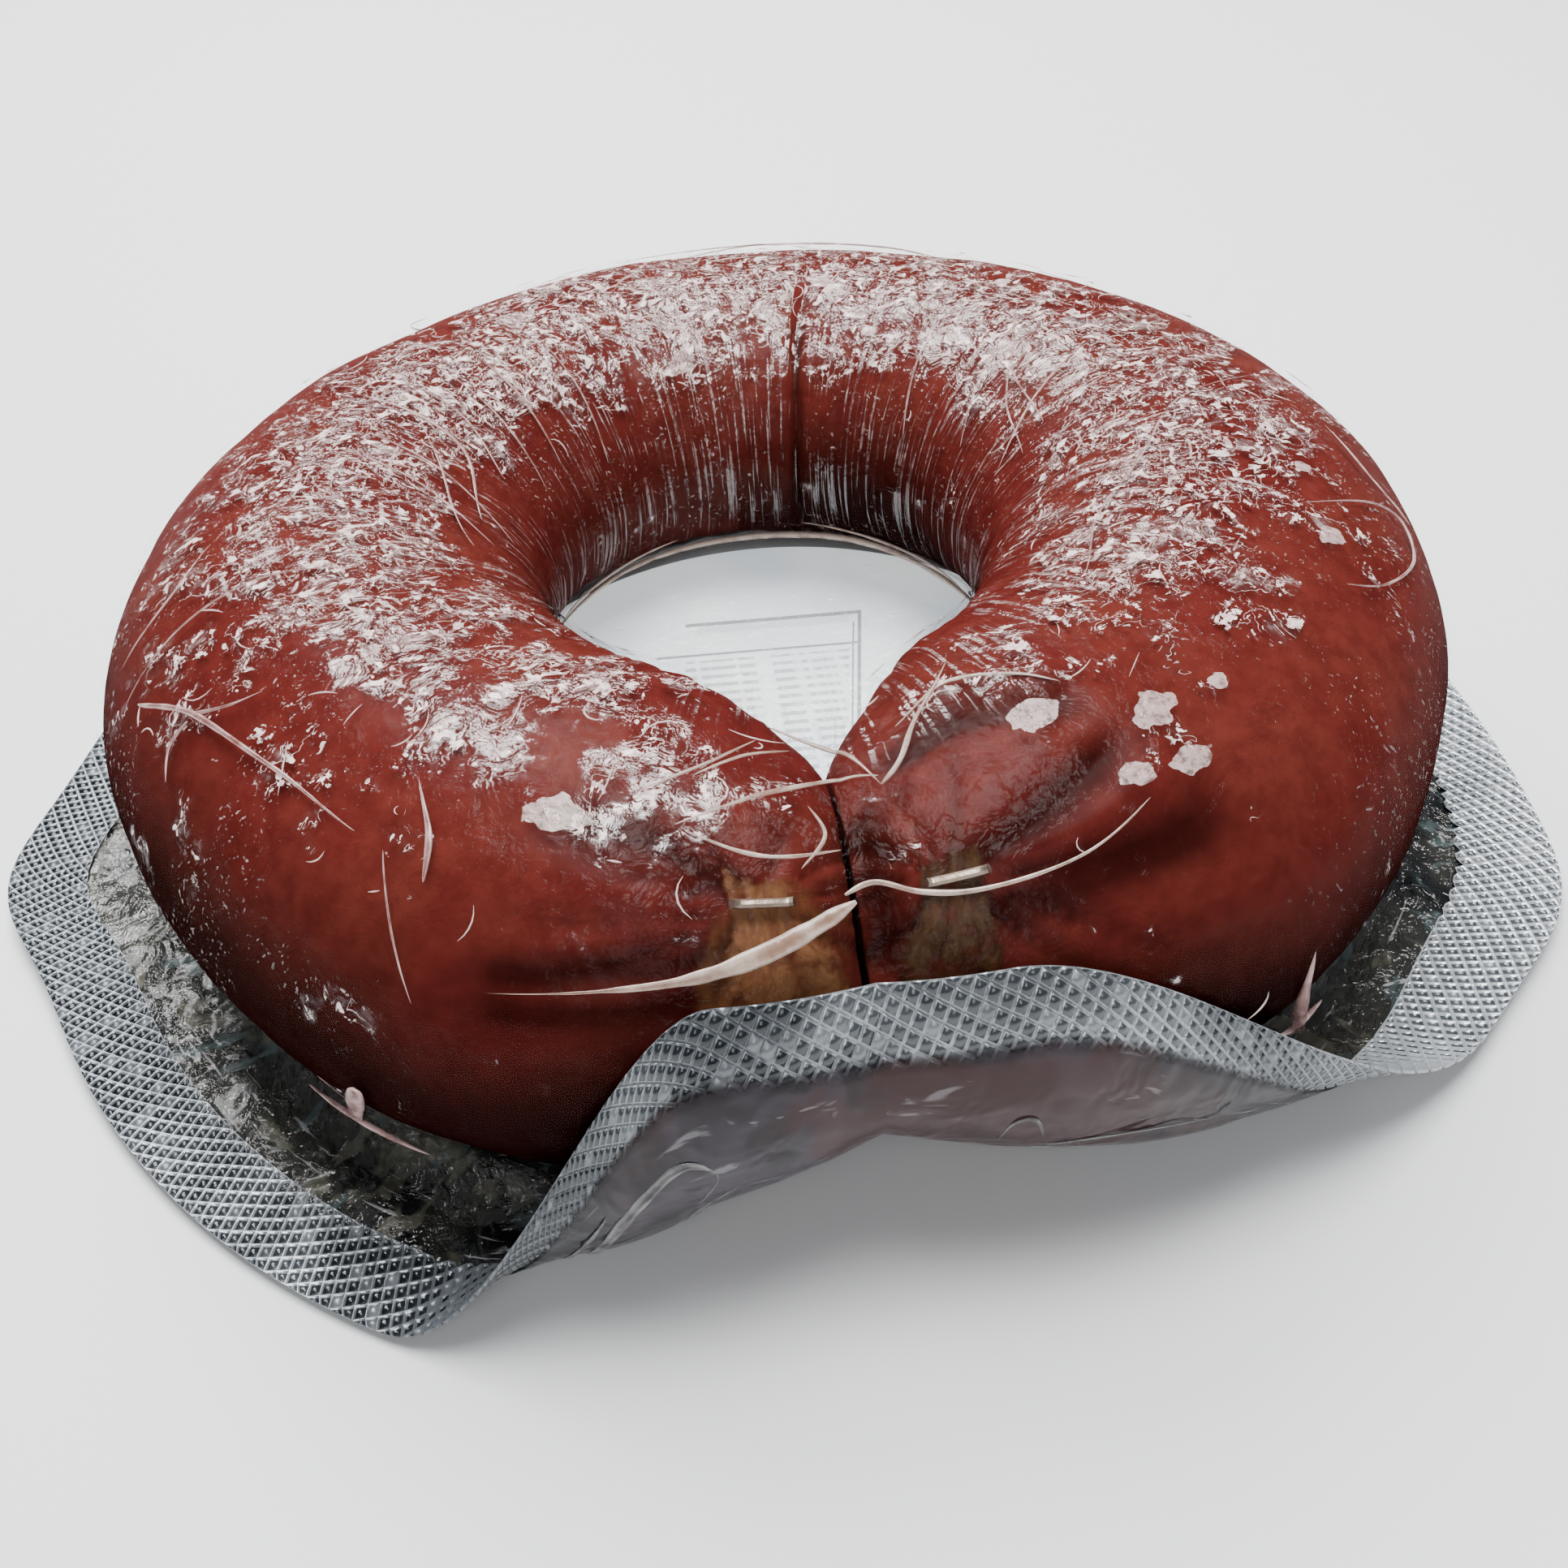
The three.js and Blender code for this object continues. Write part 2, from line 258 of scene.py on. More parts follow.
def grid(points, uv, attributes, wrap=False, pole=None, end_pole=None):
    """The points, faces, corners and attributes of a skin over a grid of points, row by row.

    wrap joins the last column to the first. pole is a single point that closes the first row, and
    end_pole one that closes the last.
    """
    rows, columns = points.shape[:2]
    steps = columns if wrap else columns - 1
    i, j = np.mgrid[0 : rows - 1, 0:steps]
    k = (j + 1) % columns
    here, below = i * columns, (i + 1) * columns
    faces = np.stack([here + j, below + j, below + k, here + k], -1).reshape(-1, 4).tolist()
    corners = [np.stack([uv[i, j], uv[i + 1, j], uv[i + 1, j + 1], uv[i, j + 1]], 2).reshape(-1, 2)]
    verts = [points.reshape(-1, 3)]
    values = {key: [np.broadcast_to(v, (rows, columns)).ravel()] for key, v in attributes.items()}
    tip = rows * columns
    for point, row in ((pole, 0), (end_pole, rows - 1)):
        if point is None:
            continue
        for v in values.values():
            v.append(v[0][row * columns : row * columns + 1])
        verts.append(np.reshape(point, (1, 3)))
        j = np.arange(steps)
        first, second = (j, j + 1) if row == 0 else (j + 1, j)
        ends = row * columns + np.stack([first % columns, second % columns], -1)
        faces += [(tip, *pair) for pair in ends.tolist()]
        near = [uv[row, first], uv[row, second]]
        corners.append(np.stack([(near[0] + near[1]) / 2, *near], 1).reshape(-1, 2))
        tip += 1
    joined = {key: np.concatenate(v) for key, v in values.items()}
    return np.concatenate(verts), faces, np.concatenate(corners), joined


def round_grid(points, uv, attributes, **poles):
    """A grid whose last column of points repeats its first, joined into one skin there."""
    shape = points.shape[:2]
    values = {key: np.broadcast_to(v, shape)[:, :-1] for key, v in attributes.items()}
    return grid(points[:, :-1], uv, values, wrap=True, **poles)


def joined_piece(name, parts):
    """One piece out of several grids."""
    verts, faces, corners, values = zip(*parts)
    starts = np.cumsum([0, *(len(v) for v in verts)])
    shifted = []
    for part, start in zip(faces, starts):
        shifted += [tuple(k + start for k in face) for face in part]
    attributes = {key: np.concatenate([v[key] for v in values]) for key in values[0]}
    return make_mesh(name, np.concatenate(verts), shifted, np.concatenate(corners), attributes)


def surface_uv(u, v, rows, columns):
    """UV corners in metres over the surface, for a grid with one column more than it has points."""
    u, v = np.broadcast_to(u, (rows, columns)), np.broadcast_to(v, (rows, columns))
    return np.stack([u, v], -1) * MM


def thicken(piece, millimetres):
    """Gives a sheet its thickness, half to each side."""
    modifier = piece.modifiers.new("thickness", "SOLIDIFY")
    modifier.thickness = millimetres * MM
    modifier.offset = 0.0
    modifier.use_rim = True


def mount(piece, material, replaced=()):
    """Finishes a piece: its material, its body and the CAD nodes it stands for."""
    if material and not piece.data.materials:
        piece.data.materials.append(material)
    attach(piece, BODY)
    if replaced:
        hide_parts(*replaced)
    return piece


# ---- node trees ----------------------------------------------------------------------


class Value:
    """An output socket that takes part in sums: each operation adds its Math node."""

    def __init__(self, tree, socket):
        self.tree, self.socket = tree, socket

    def math(self, operation, *numbers, clamp=False):
        return self.tree.node(
            "ShaderNodeMath",
            {"operation": operation, "use_clamp": clamp},
            dict(enumerate(numbers)),
        )

    def __add__(self, other):
        return self.math("ADD", self, other)

    def __sub__(self, other):
        return self.math("SUBTRACT", self, other)

    def __rsub__(self, other):
        return self.math("SUBTRACT", other, self)

    def __mul__(self, other):
        return self.math("MULTIPLY", self, other)

    def __truediv__(self, other):
        return self.math("DIVIDE", self, other)

    def __abs__(self):
        return self.math("ABSOLUTE", self)

    __radd__, __rmul__ = __add__, __mul__

    def clamped(self):
        return self.math("ADD", self, 0.0, clamp=True)

    def largest(self, other):
        return self.math("MAXIMUM", self, other)


class Tree:
    """Adds nodes to a tree: one method takes a node's type, its settings and its inputs."""

    def __init__(self, nodes_of):
        self.tree = nodes_of

    def node(self, kind, settings=None, inputs=None, output=0):
        node = self.tree.nodes.new(kind)
        for key, value in (settings or {}).items():
            setattr(node, key, value)
        for key, value in (inputs or {}).items():
            if isinstance(value, Value):
                self.tree.links.new(value.socket, node.inputs[key])
            else:
                node.inputs[key].default_value = value
        return Value(self, node.outputs[output]) if node.outputs else node


class Finish(Tree):
    """One material's nodes."""

    def __init__(self, name):
        self.material = bpy.data.materials.new(name)
        self.material.use_nodes = True
        super().__init__(self.material.node_tree)
        self.tree.nodes.clear()

    def position(self):
        return self.node("ShaderNodeTexCoord", output="Object")

    def surface(self, across=1.0, along=1.0):
        """The piece's own UV map, in metres, stretched by across and along."""
        uv = self.node("ShaderNodeUVMap", {"uv_map": "surface"})
        return self.vector("MULTIPLY", uv, (across, along, 1))

    def vector(self, operation, first, second):
        return self.node("ShaderNodeVectorMath", {"operation": operation}, {0: first, 1: second})

    def axis(self, where, name):
        """One coordinate of a place: X, Y or Z."""
        return self.node("ShaderNodeSeparateXYZ", None, {"Vector": where}, output=name)

    def attribute(self, name):
        return self.node("ShaderNodeAttribute", {"attribute_name": name}, output="Fac")

    def noise(self, where, size, detail=2.0, roughness=0.5, distortion=0.0, output=0):
        """Noise with features of about size millimetres."""
        inputs = {
            "Vector": where,
            "Scale": 1 / (size * MM),
            "Detail": detail,
            "Roughness": roughness,
            "Distortion": distortion,
        }
        return self.node("ShaderNodeTexNoise", None, inputs, output)

    def moved(self, where, by, amount):
        """A place moved by a noise's colour, amount millimetres each way."""
        centred = self.vector("SUBTRACT", by, (0.5, 0.5, 0.5))
        inputs = {0: centred, "Scale": amount * MM}
        scaled = self.node("ShaderNodeVectorMath", {"operation": "SCALE"}, inputs)
        return self.vector("ADD", where, scaled)

    def step(self, value, low, high):
        """0 below low and 1 above high, smoothly."""
        inputs = {"Value": value, "From Min": low, "From Max": high}
        return self.node("ShaderNodeMapRange", {"interpolation_type": "SMOOTHSTEP"}, inputs)

    def blend(self, factor, a, b):
        """A mix of two colours."""
        inputs = {0: factor, 6: self.colour(a), 7: self.colour(b)}
        return self.node("ShaderNodeMix", {"data_type": "RGBA"}, inputs, output=2)

    @staticmethod
    def colour(value):
        return value if isinstance(value, Value) else (*value, 1)

    def bump(self, height, depth, normal=None):
        """A Bump node: depth is in millimetres for a height from 0 to 1."""
        inputs = {"Height": height, "Distance": depth * MM, "Strength": 1.0}
        if normal:
            inputs["Normal"] = normal
        return self.node("ShaderNodeBump", None, inputs)

    def skin(self, **inputs):
        """The Principled shader: an input's underscores stand for the spaces in its name."""
        named = {key.replace("_", " "): value for key, value in inputs.items()}
        for key in ("Base Color", "Emission Color"):
            if key in named:
                named[key] = self.colour(named[key])
        return self.node("ShaderNodeBsdfPrincipled", None, named)

    def finished(self, shader):
        self.node("ShaderNodeOutputMaterial", None, {"Surface": shader})
        return self.material

    def seen_through(self, shader, cover):
        """The shader over a clear sheet: cover is how much of it shows."""
        clear = self.node("ShaderNodeBsdfTransparent", None, {"Color": (1, 1, 1, 1)})
        return self.node("ShaderNodeMixShader", None, {0: cover, 1: clear, 2: shader})


class Recipe(Tree):
    """A Geometry Nodes tree with named inputs, which makes a plain mesh out of a starting shape."""

    def __init__(self, name):
        super().__init__(bpy.data.node_groups.new(name, "GeometryNodeTree"))
        self.sockets = self.tree.interface
        self.sockets.new_socket("Geometry", in_out="INPUT", socket_type="NodeSocketGeometry")
        self.sockets.new_socket("Geometry", in_out="OUTPUT", socket_type="NodeSocketGeometry")
        self.start = self.tree.nodes.new("NodeGroupInput")
        self.values = {}

    def given(self, name, kind, value):
        """A named input and the value that this object's piece uses."""
        socket = self.sockets.new_socket(name, in_out="INPUT", socket_type=kind)
        self.values[socket.identifier] = value
        return Value(self, self.start.outputs[name])

    def geometry(self):
        return Value(self, self.start.outputs["Geometry"])

    def run(self, source, name, geometry, material):
        """Ends the tree, runs it on the source object and gives back a plain mesh piece."""
        real = self.node("GeometryNodeRealizeInstances", None, {"Geometry": geometry})
        look = self.given("Material", "NodeSocketMaterial", material)
        painted = self.node("GeometryNodeSetMaterial", None, {"Geometry": real, "Material": look})
        output = self.tree.nodes.new("NodeGroupOutput")
        self.tree.links.new(painted.socket, output.inputs["Geometry"])
        modifier = source.modifiers.new(name, "NODES")
        modifier.node_group = self.tree
        for identifier, value in self.values.items():
            modifier[identifier] = value
        bpy.context.view_layer.update()
        graph = bpy.context.evaluated_depsgraph_get()
        mesh = bpy.data.meshes.new_from_object(source.evaluated_get(graph), depsgraph=graph)
        mesh.name = name
        source.modifiers.remove(modifier)
        bpy.data.objects.remove(source)
        piece = bpy.data.objects.new(name, mesh)
        bpy.context.scene.collection.objects.link(piece)
        return piece


# ---- the sausage ---------------------------------------------------------------------

# Places (t, a) in degrees: the two ties, and the crease where the ring kinks at the back.
LEFT_TIE, RIGHT_TIE = (-6.8, 52.6), (6.8, 52.6)
KINK_AT = 166
KINK = [(KINK_AT, 100), (KINK_AT, 120), (165, 160), (KINK_AT, 205)]
# Creases near the ends: the places that each one passes, its width and its depth in millimetres.
END_CREASES = (
    ([(-24, 35), (-13, 38), (-7, 44)], 2.2, 1.0),
    ([(8, 56), (13, 60), (20, 68)], 3.0, 1.5),
    ([(7, 40), (13, 43), (24, 46)], 4.2, 1.2),
    ([(1.2, 84), (1.8, 66), (1.6, 30)], 2.4, 1.4),
    ([(-24, 26), (-14, 28), (-8, 34)], 2.6, 0.6),
    ([(6, 96), (12, 97), (20, 84)], 2.4, 1.1),
    ([(-9, 58), (-14, 66), (-20, 70)], 2.4, 0.7),
)
# The bulging lip of casing over the right end.
END_LIP = [(4, 96), (8, 103), (14, 104), (21, 90)]
# Sections near each end and round the rest of the ring, and steps round each one.
NEAR_STATIONS, FAR_STATIONS, SECTION_STEPS = 40, 250, 128
# The rings of an end face, as shares of the way from its middle to its edge.
CAP_RINGS = (0.25, 0.5, 0.75, 0.92)


def pleats(t, a, tie, count, seed):
    """The gathers that run into a tie: 0 on the folds and 1 in the valleys."""
    x = (turned(t) - math.radians(tie[0])) * END_RUN
    y = (a - math.radians(tie[1])) * A_RUN
    reach, heading = np.hypot(x, y), np.arctan2(y, x)
    wobble = 0.9 * np.sin(2 * heading + seed) + 0.5 * np.sin(5 * heading + 2 * seed) + 0.02 * reach
    valley = 1 - np.abs(np.sin(count / 2 * heading + wobble))
    return valley**2 * np.exp(-((reach / 15) ** 1.5)) * smooth(reach, 1, 6)


def lumps(points):
    """The sausage's own unevenness, which the film follows."""
    return 0.5 * rough(points, 26, 3) + 0.18 * rough(points, 10, 7)


def kink_share(a):
    """The kink is deep inside the ring and dies out over the crest."""
    return smooth(a, 1.7, 2.4)


def casing_relief(t, a, points, settings):
    """How far the casing stands off the plain tube, in millimetres."""
    pleat_depth = settings.pleat_depth / MM
    relief = lumps(points) + 0.05 * rough(points, 3.5, 11)
    valley = pleats(t, a, LEFT_TIE, 13, 0.7) * (turned(t) < 0)
    valley = valley + pleats(t, a, RIGHT_TIE, 11, 2.1) * (turned(t) > 0)
    relief -= pleat_depth * valley
    for line, width, depth in END_CREASES:
        relief -= depth * bell(from_line(t, a, line), 0, width)
    relief += 1.3 * bell(from_line(t, a, END_LIP), 0, 1.5)
    relief -= settings.kink_depth / MM * bell(from_line(t, a, KINK), 0, 1.0) * kink_share(a)
    wall = smooth(-np.cos(a), -0.1, 0.6)
    relief += 0.3 * wall * (1 - 3 * np.abs(along_and_around(t, a, 4.2, 60, 17.0)))
    past = (turned(t) - math.radians(KINK_AT)) * T_RUN
    beyond = np.sin(turned(t)) < math.sin(math.radians(KINK_AT))
    relief += 0.9 * smooth(a, 1.6, 2.1) * np.exp(-np.abs(past) / 7) * beyond
    return relief, valley


def sausage_stations():
    """Angles along the ring from one end face round the back to the other, closer at the ends."""
    gap = END_GAP / 2 / RING_FRONT
    near = gap + np.linspace(0, 1, NEAR_STATIONS) ** 1.4 * 0.42
    middle = np.linspace(near[-1], 2 * np.pi - near[-1], FAR_STATIONS)[1:-1]
    return np.concatenate([near, middle, (2 * np.pi - near)[::-1]])


def casing_shades(ring, around, points, valleys):
    """How low, how close to a tie and how deep in a crease the casing is, from 0 to 1. The low and
    crease values paint shade into the casing's colour.
    """
    body = Section(ring, NOSE)
    # Painted shade: the casing darkens from low down, reaching higher on the left flank.
    reach = 0.66 + 0.22 * bell(np.degrees(turned(ring)), -58, 30)
    below = body.level + reach * body.upright - points[..., 2]
    low = np.clip(below / (1.1 * body.upright), 0, 1)
    # Painted shade: the inner wall is darkened less, but for its right back part, which stays dark.
    shaded = bell(np.degrees(turned(ring)), 145, 34)
    low *= 1 - 0.62 * smooth(-np.cos(around), 0.0, 0.5) * (1 - 0.7 * shaded)
    tie = np.zeros(points.shape[:2])
    for at, strength in ((LEFT_TIE, 1.0), (RIGHT_TIE, 0.32)):
        x = (turned(ring) - math.radians(at[0] * 0.9)) * END_RUN
        y = (around - math.radians(at[1] - 18)) * A_RUN
        tie = np.maximum(tie, strength * np.exp(-((x / 7) ** 2) - (y / 12) ** 2))
    # Painted shade: how deep in an end crease or the kink the casing lies.
    creases = np.zeros(points.shape[:2])
    for line, width, _ in END_CREASES:
        creases = np.maximum(creases, bell(from_line(ring, around, line), 0, width * 0.8))
    kink = bell(from_line(ring, around, KINK), 0, 0.8) * kink_share(around)
    creases = np.maximum(creases, 1.2 * kink)
    return {"low": low, "tie": tie, "valley": np.clip(valleys + creases, 0, 1)}


def make_sausage_body(settings):
    t = sausage_stations()[:, None]
    a = (-np.pi / 2 + np.linspace(0, 2 * np.pi, SECTION_STEPS + 1))[None, :]
    cut = Section(t, NOSE)
    radius, height = cut.at(a)
    plain = place(t, radius, height)
    relief, valley = casing_relief(t, a, plain, settings)
    from_face = RING_FRONT * np.abs(turned(t))
    relief -= 3.4 * np.exp(-from_face / 3.0) * smooth(a, 0.0, 1.0)
    radius, height = cut.at(a, relief)
    height = np.maximum(height, BELLY)
    points = place(t, radius, height)
    caps = []
    for row, sign in ((0, 1), (-1, -1)):
        middle = place(t[row], cut.radius[row], cut.level[row])
        rings = [lerp(middle, points[row], share) for share in CAP_RINGS]
        caps.append((middle.reshape(3), rings[::sign]))
    points = np.concatenate([np.stack(caps[0][1]), points, np.stack(caps[1][1])])
    extra = len(caps[0][1])
    ring = np.concatenate([np.full(extra, t[0, 0]), t[:, 0], np.full(extra, t[-1, 0])])[:, None]
    around = np.broadcast_to(a, (len(ring), a.shape[1]))
    valleys = np.pad(valley, ((extra, extra), (0, 0)), mode="edge")
    attributes = casing_shades(ring, around, points, valleys)
    uv = surface_uv(ring * T_RUN, around * A_RUN, *points.shape[:2])
    poles = {"pole": caps[0][0], "end_pole": caps[1][0]}
    return make_mesh("sausage_body", *round_grid(points, uv, attributes, **poles))


def casing_finish(settings):
    f = Finish("smoked casing")
    where = f.position()
    mottle = f.noise(where, 22, 4, 0.6, 0.4)
    grain = f.noise(where, 3.2, 5, 0.65)
    fat = f.noise(where, 7, 3, 0.55)
    low, valley, tie = f.attribute("low"), f.attribute("valley"), f.attribute("tie")
    warm = f.blend(f.step(mottle, 0.35, 0.68), settings.lit_colour, settings.warm_colour)
    grained = f.blend(f.step(grain, 0.3, 0.7) * 0.45, warm, settings.deep_colour)
    paler = f.blend(f.step(fat, 0.58, 0.78) * 0.2, grained, (0.17, 0.03, 0.018))
    # Painted shade: the casing is darkened low down, its edge broken by the mottle.
    depth = (low + (mottle - 0.5) * 0.5).clamped()
    darker = f.blend(f.step(depth, -0.05, 0.72) * 0.96, paler, settings.underside_shade_colour)
    # Painted shade: the casing is darkened in the pleats, the end creases and the kink.
    crease_shaded = f.blend(valley * 0.8, darker, (0.011, 0.0012, 0.001))
    fibre = f.noise(f.surface(1.0, 0.25), 1.2, 3, 0.6)
    tan = f.blend(f.step(fibre, 0.35, 0.7), settings.tie_colour, (0.07, 0.026, 0.012))
    reach = f.step(tie + (f.noise(where, 4.5, 3) - 0.5) * 0.9, 0.32, 0.62)
    colour = f.blend(reach * 0.7, crease_shaded, tan)
    skin_bump = f.bump(f.noise(where, 5.5, 4, 0.6, 0.8), 0.35)
    pores = f.bump(grain, 0.08, skin_bump)
    shader = f.skin(
        Base_Color=colour,
        Roughness=f.step(grain, 0.2, 0.8) * 0.15 + 0.45,
        Specular_IOR_Level=0.0,
        Normal=pores,
        Coat_Weight=(1 - low * 2).clamped() * 0.05,
        Coat_Roughness=0.3,
    )
    return f.finished(shader)


def make_casing_tail(name, side, tie, foot_half, foot_lean):
    """The gathered casing beyond a tie: a pleated fan pressed flat on the end of the sausage.

    v goes from 0 at the fan's foot to 1 above the tie, and u from -1 to 1 across it.
    """
    u = np.linspace(-1, 1, 61)[None, :]
    v = np.linspace(1, 0, 49)[:, None]
    half = lerp(foot_half, 3.0, smooth(v, 0.25, 0.72)) + 0.3 * smooth(v, 0.78, 1.0)
    ragged = 1.6 * np.sin(u * 5 + tie[0]) + 0.9 * np.sin(u * 13 + side)
    fraying = smooth(v, 0.8, 1) + smooth(-v, -0.2, 0)
    a = np.radians(lerp(tie[1] - 33, tie[1] + 9, v) + ragged * fraying)
    lean = -side * foot_lean * smooth(-v, -0.7, 0)
    t = math.radians(tie[0]) + (u * half + lean + 0.5 * np.sin(v * 6 + side)) / RING_FRONT
    pleat = np.abs(np.sin(u * 4.4 + 1.6 * v * u + side)) + 0.3 * np.abs(np.sin(u * 11 + 5 * v))
    cut = Section(t, NOSE)
    flat = 1 - bell(v, 0.68, 0.16)
    rise = 0.45 + 0.2 * pleat * flat - 0.25 * bell(v, 0.68, 0.06) + 0.3 * smooth(v, 0.8, 1)
    edge = smooth(np.abs(u), 0.8, 1.0)
    radius, height = cut.at(a, rise * (1 - 0.9 * edge))
    points = place(t, radius, height)
    points = points + 0.25 * rough(points, 3, 5 + side)[..., None]
    uv = surface_uv(u * 7, v * 26, *points.shape[:2])
    ragged_edge = np.maximum(smooth(np.abs(u), 0.5, 1.0), smooth(v, 0.78, 1.0))
    ragged_edge = np.maximum(ragged_edge, smooth(-v, -0.15, 0.0))
    # fold is how far each pleat stands out; tail_finish paints shade from it, darker between the
    # pleats.
    attributes = {"fold": pleat / 1.3, "ragged": ragged_edge}
    return make_mesh(name, *grid(points, uv, attributes))


def tail_finish(name, pale, dark):
    f = Finish(name)
    fibre = f.noise(f.surface(1.0, 0.4), 1.8, 4, 0.6, 0.8)
    blotch = f.noise(f.position(), 4, 3, 0.6)
    fold = f.attribute("fold")
    # Painted shade: the casing is paler on the pleats' ridges and darker between them, over its own
    # fibre.
    colour = f.blend((f.step(fibre, 0.35, 0.65) * 0.5 + fold * 0.35).clamped(), dark, pale)
    stained = f.blend(f.step(blotch, 0.48, 0.66) * 0.75, colour, (0.07, 0.01, 0.006))
    shader = f.skin(
        Base_Color=stained,
        Roughness=0.5,
        Specular_IOR_Level=0.12,
        Normal=f.bump(fibre, 0.2),
        Coat_Weight=0.08,
        Coat_Roughness=0.2,
    )
    thinning = f.attribute("ragged") + (f.noise(f.position(), 2.2, 3, 0.6) - 0.5) * 1.6
    return f.finished(f.seen_through(shader, 0.92 - f.step(thinning, 0.2, 0.9) * 0.92))


def clip_finish():
    f = Finish("clip wire")
    scratches = f.noise(f.position(), 0.6, 3, 0.6)
    colour = f.blend(scratches, (0.34, 0.25, 0.19), (0.56, 0.46, 0.38))
    shader = f.skin(
        Base_Color=colour,
        Metallic=1.0,
        Roughness=scratches * 0.25 + 0.3,
        Normal=f.bump(scratches, 0.05),
    )
    return f.finished(shader)


# ---- the films -----------------------------------------------------------------------

# The embossed band's width, how much wider it is at the right corner and where, and how much
# narrower it is on the folded flange.
BAND_WIDTH, CORNER_BAND, RIGHT_CORNER, FOLDED_BAND = 10.3, 3.0, 58, 2.0
# How far the drawn film stands off the plain tube, and how far each film reaches into the band.
FILM_STAND_OFF, FILM_OVERLAP, BASE_OVERLAP = 0.85, 1.6, 1.8
FILM_COLUMNS, FLOOR_ROWS, TUBE_ROWS, FLANGE_ROWS = 430, 14, 140, 22
BASE_COLUMNS, BASE_ROWS, BASE_RUN = 300, 26, 90.0


def band_width(t):
    """How wide the embossed band is at t: narrower where the flange is folded up."""
    corner = CORNER_BAND * bell(np.degrees(turned(t)), RIGHT_CORNER, 12)
    return BAND_WIDTH + corner - FOLDED_BAND * flap_share(t)


def film_relief(t, a, points, settings):
    """How far the drawn film stands off the sausage's plain tube, in millimetres."""
    wall = smooth(-np.cos(a), -0.15, 0.7)
    streaks = along_and_around(t, a, 2.6, 26, 4.0)
    folds = along_and_around(t, a, 7.0, 40, 9.0)
    relief = FILM_STAND_OFF + lumps(points)
    relief += settings.wrinkle_height / MM * wall * (1 - 2 * np.abs(streaks)) * 0.7
    relief += 0.3 * wall * folds
    top = smooth(np.sin(a), 0.1, 0.8)
    relief += 0.18 * top * (1 - 3 * np.abs(rough(points, 6, 21)))
    relief += 0.08 * rough(points, 3.4, 30)
    relief -= 1.3 * bell(from_line(t, a, KINK), 0, 1.1)
    puckers = along_and_around(t, a, 7.0, 60, 14.0)
    return relief + 1.6 * smooth(-a, 0.55, 0.8) * np.maximum(puckers, 0)


def crinkled(t, a):
    """How densely the film is crinkled and painted with highlights: most on the crest's inner side,
    least low down outside.
    """
    degrees, turn = np.degrees(turned(t)), np.degrees(a)
    crest = bell(turn, 103, 36) * (1 - 0.75 * bell(degrees, 4, 30))
    side = 0.3 * bell(degrees, -75, 40) * bell(turn, 50, 30)
    far = 0.3 * bell(np.abs(degrees), 180, 60) * bell(turn, 95, 40)
    right = 0.22 * bell(degrees, 78, 34) * bell(turn, 78, 34)
    left_end = 0.25 * bell(degrees, -12, 12) * bell(turn, 82, 22)
    return 0.08 + 0.8 * crest + side + far + right + left_end


# Painted reflections of the lights on flat patches of the film: place (t, a) in degrees and size.
FACET_REFLECTIONS = (
    *((-22, 70, 3.4), (17, 84, 3.4), (21.5, 62, 2.6), (26, 72, 3.2), (26, 60, 2.4)),
    *((60, 65, 3.4), (33, 69, 2.4), (72, 72, 2.4), (-50, 88, 2.2), (152, 122, 2.6)),
    *((163, 100, 3.4), (-172, 132, 4.0)),
)


def facet_reflections(t, a):
    """Where each painted reflection lies: above 0.5 within it."""
    shine = np.zeros(np.broadcast(t, a).shape)
    for degrees, turn, size in FACET_REFLECTIONS:
        x = turned(t - math.radians(degrees)) * T_RUN / size
        y = (a - math.radians(turn)) * A_RUN / size * 1.3
        slant = math.sin(7 * degrees)
        reach = np.abs(x + slant * y) ** 1.15 + np.abs(y - slant * x) ** 1.15
        shine = np.maximum(shine, np.exp(-reach * 0.8))
    return shine


def film_path(settings):
    """The drawn film's rows from the axis over the ring to the seal, and each one's angle a."""
    t = round_the_ring(FILM_COLUMNS)
    cut = Section(t, BRIDGE)
    foot = cut.radius - cut.inner * 0.5
    floor_rows = []
    for share in np.linspace(0.06, 1, FLOOR_ROWS) ** 0.8:
        points = place(t, share * foot, base_height(share * foot) + SEAL)
        points[:, 2] += 0.18 * rough(points, 9, 2) * smooth(share, 0.2, 0.5)
        floor_rows.append(points)
    a = np.linspace(UNDER_WALL, UNDERCUT, TUBE_ROWS)[:, None]
    plain = place(t, *cut.at(a, FILM_STAND_OFF))
    radius, height = cut.at(a, film_relief(t, a, plain, settings))
    tube_rows = place(t, radius, np.maximum(height, FILM / 2 + SEAL))
    last_w = 1 - (band_width(t) - FILM_OVERLAP) / flange_length(t)
    pucker = along_and_around(t, np.zeros_like(t), 6.5, 10, 33.0)
    flange_rows = []
    for share in np.linspace(0.04, 1, FLANGE_ROWS):
        points = place(t, *flange(t, last_w * share))
        hump = np.sin(np.pi * min(share * 1.05, 1)) * (1 - flap_share(t))
        crumple = rough(points, 9, 40) + 0.4 * rough(points, 3.5, 43)
        points[:, 2] += hump * (0.5 + 1.5 * np.maximum(pucker, 0) + 0.9 * crumple)
        points = lerp(tube_rows[-1], points, smooth(share, -0.04, 0.2))
        points[:, 2] = np.maximum(points[:, 2], FILM / 2 + SEAL)
        flange_rows.append(points)
    ends = np.full(FLOOR_ROWS, UNDER_WALL), np.full(FLANGE_ROWS, UNDERCUT)
    turns = np.concatenate([ends[0], a[:, 0], ends[1]])
    return t, turns[:, None], np.concatenate([floor_rows, tube_rows, flange_rows])


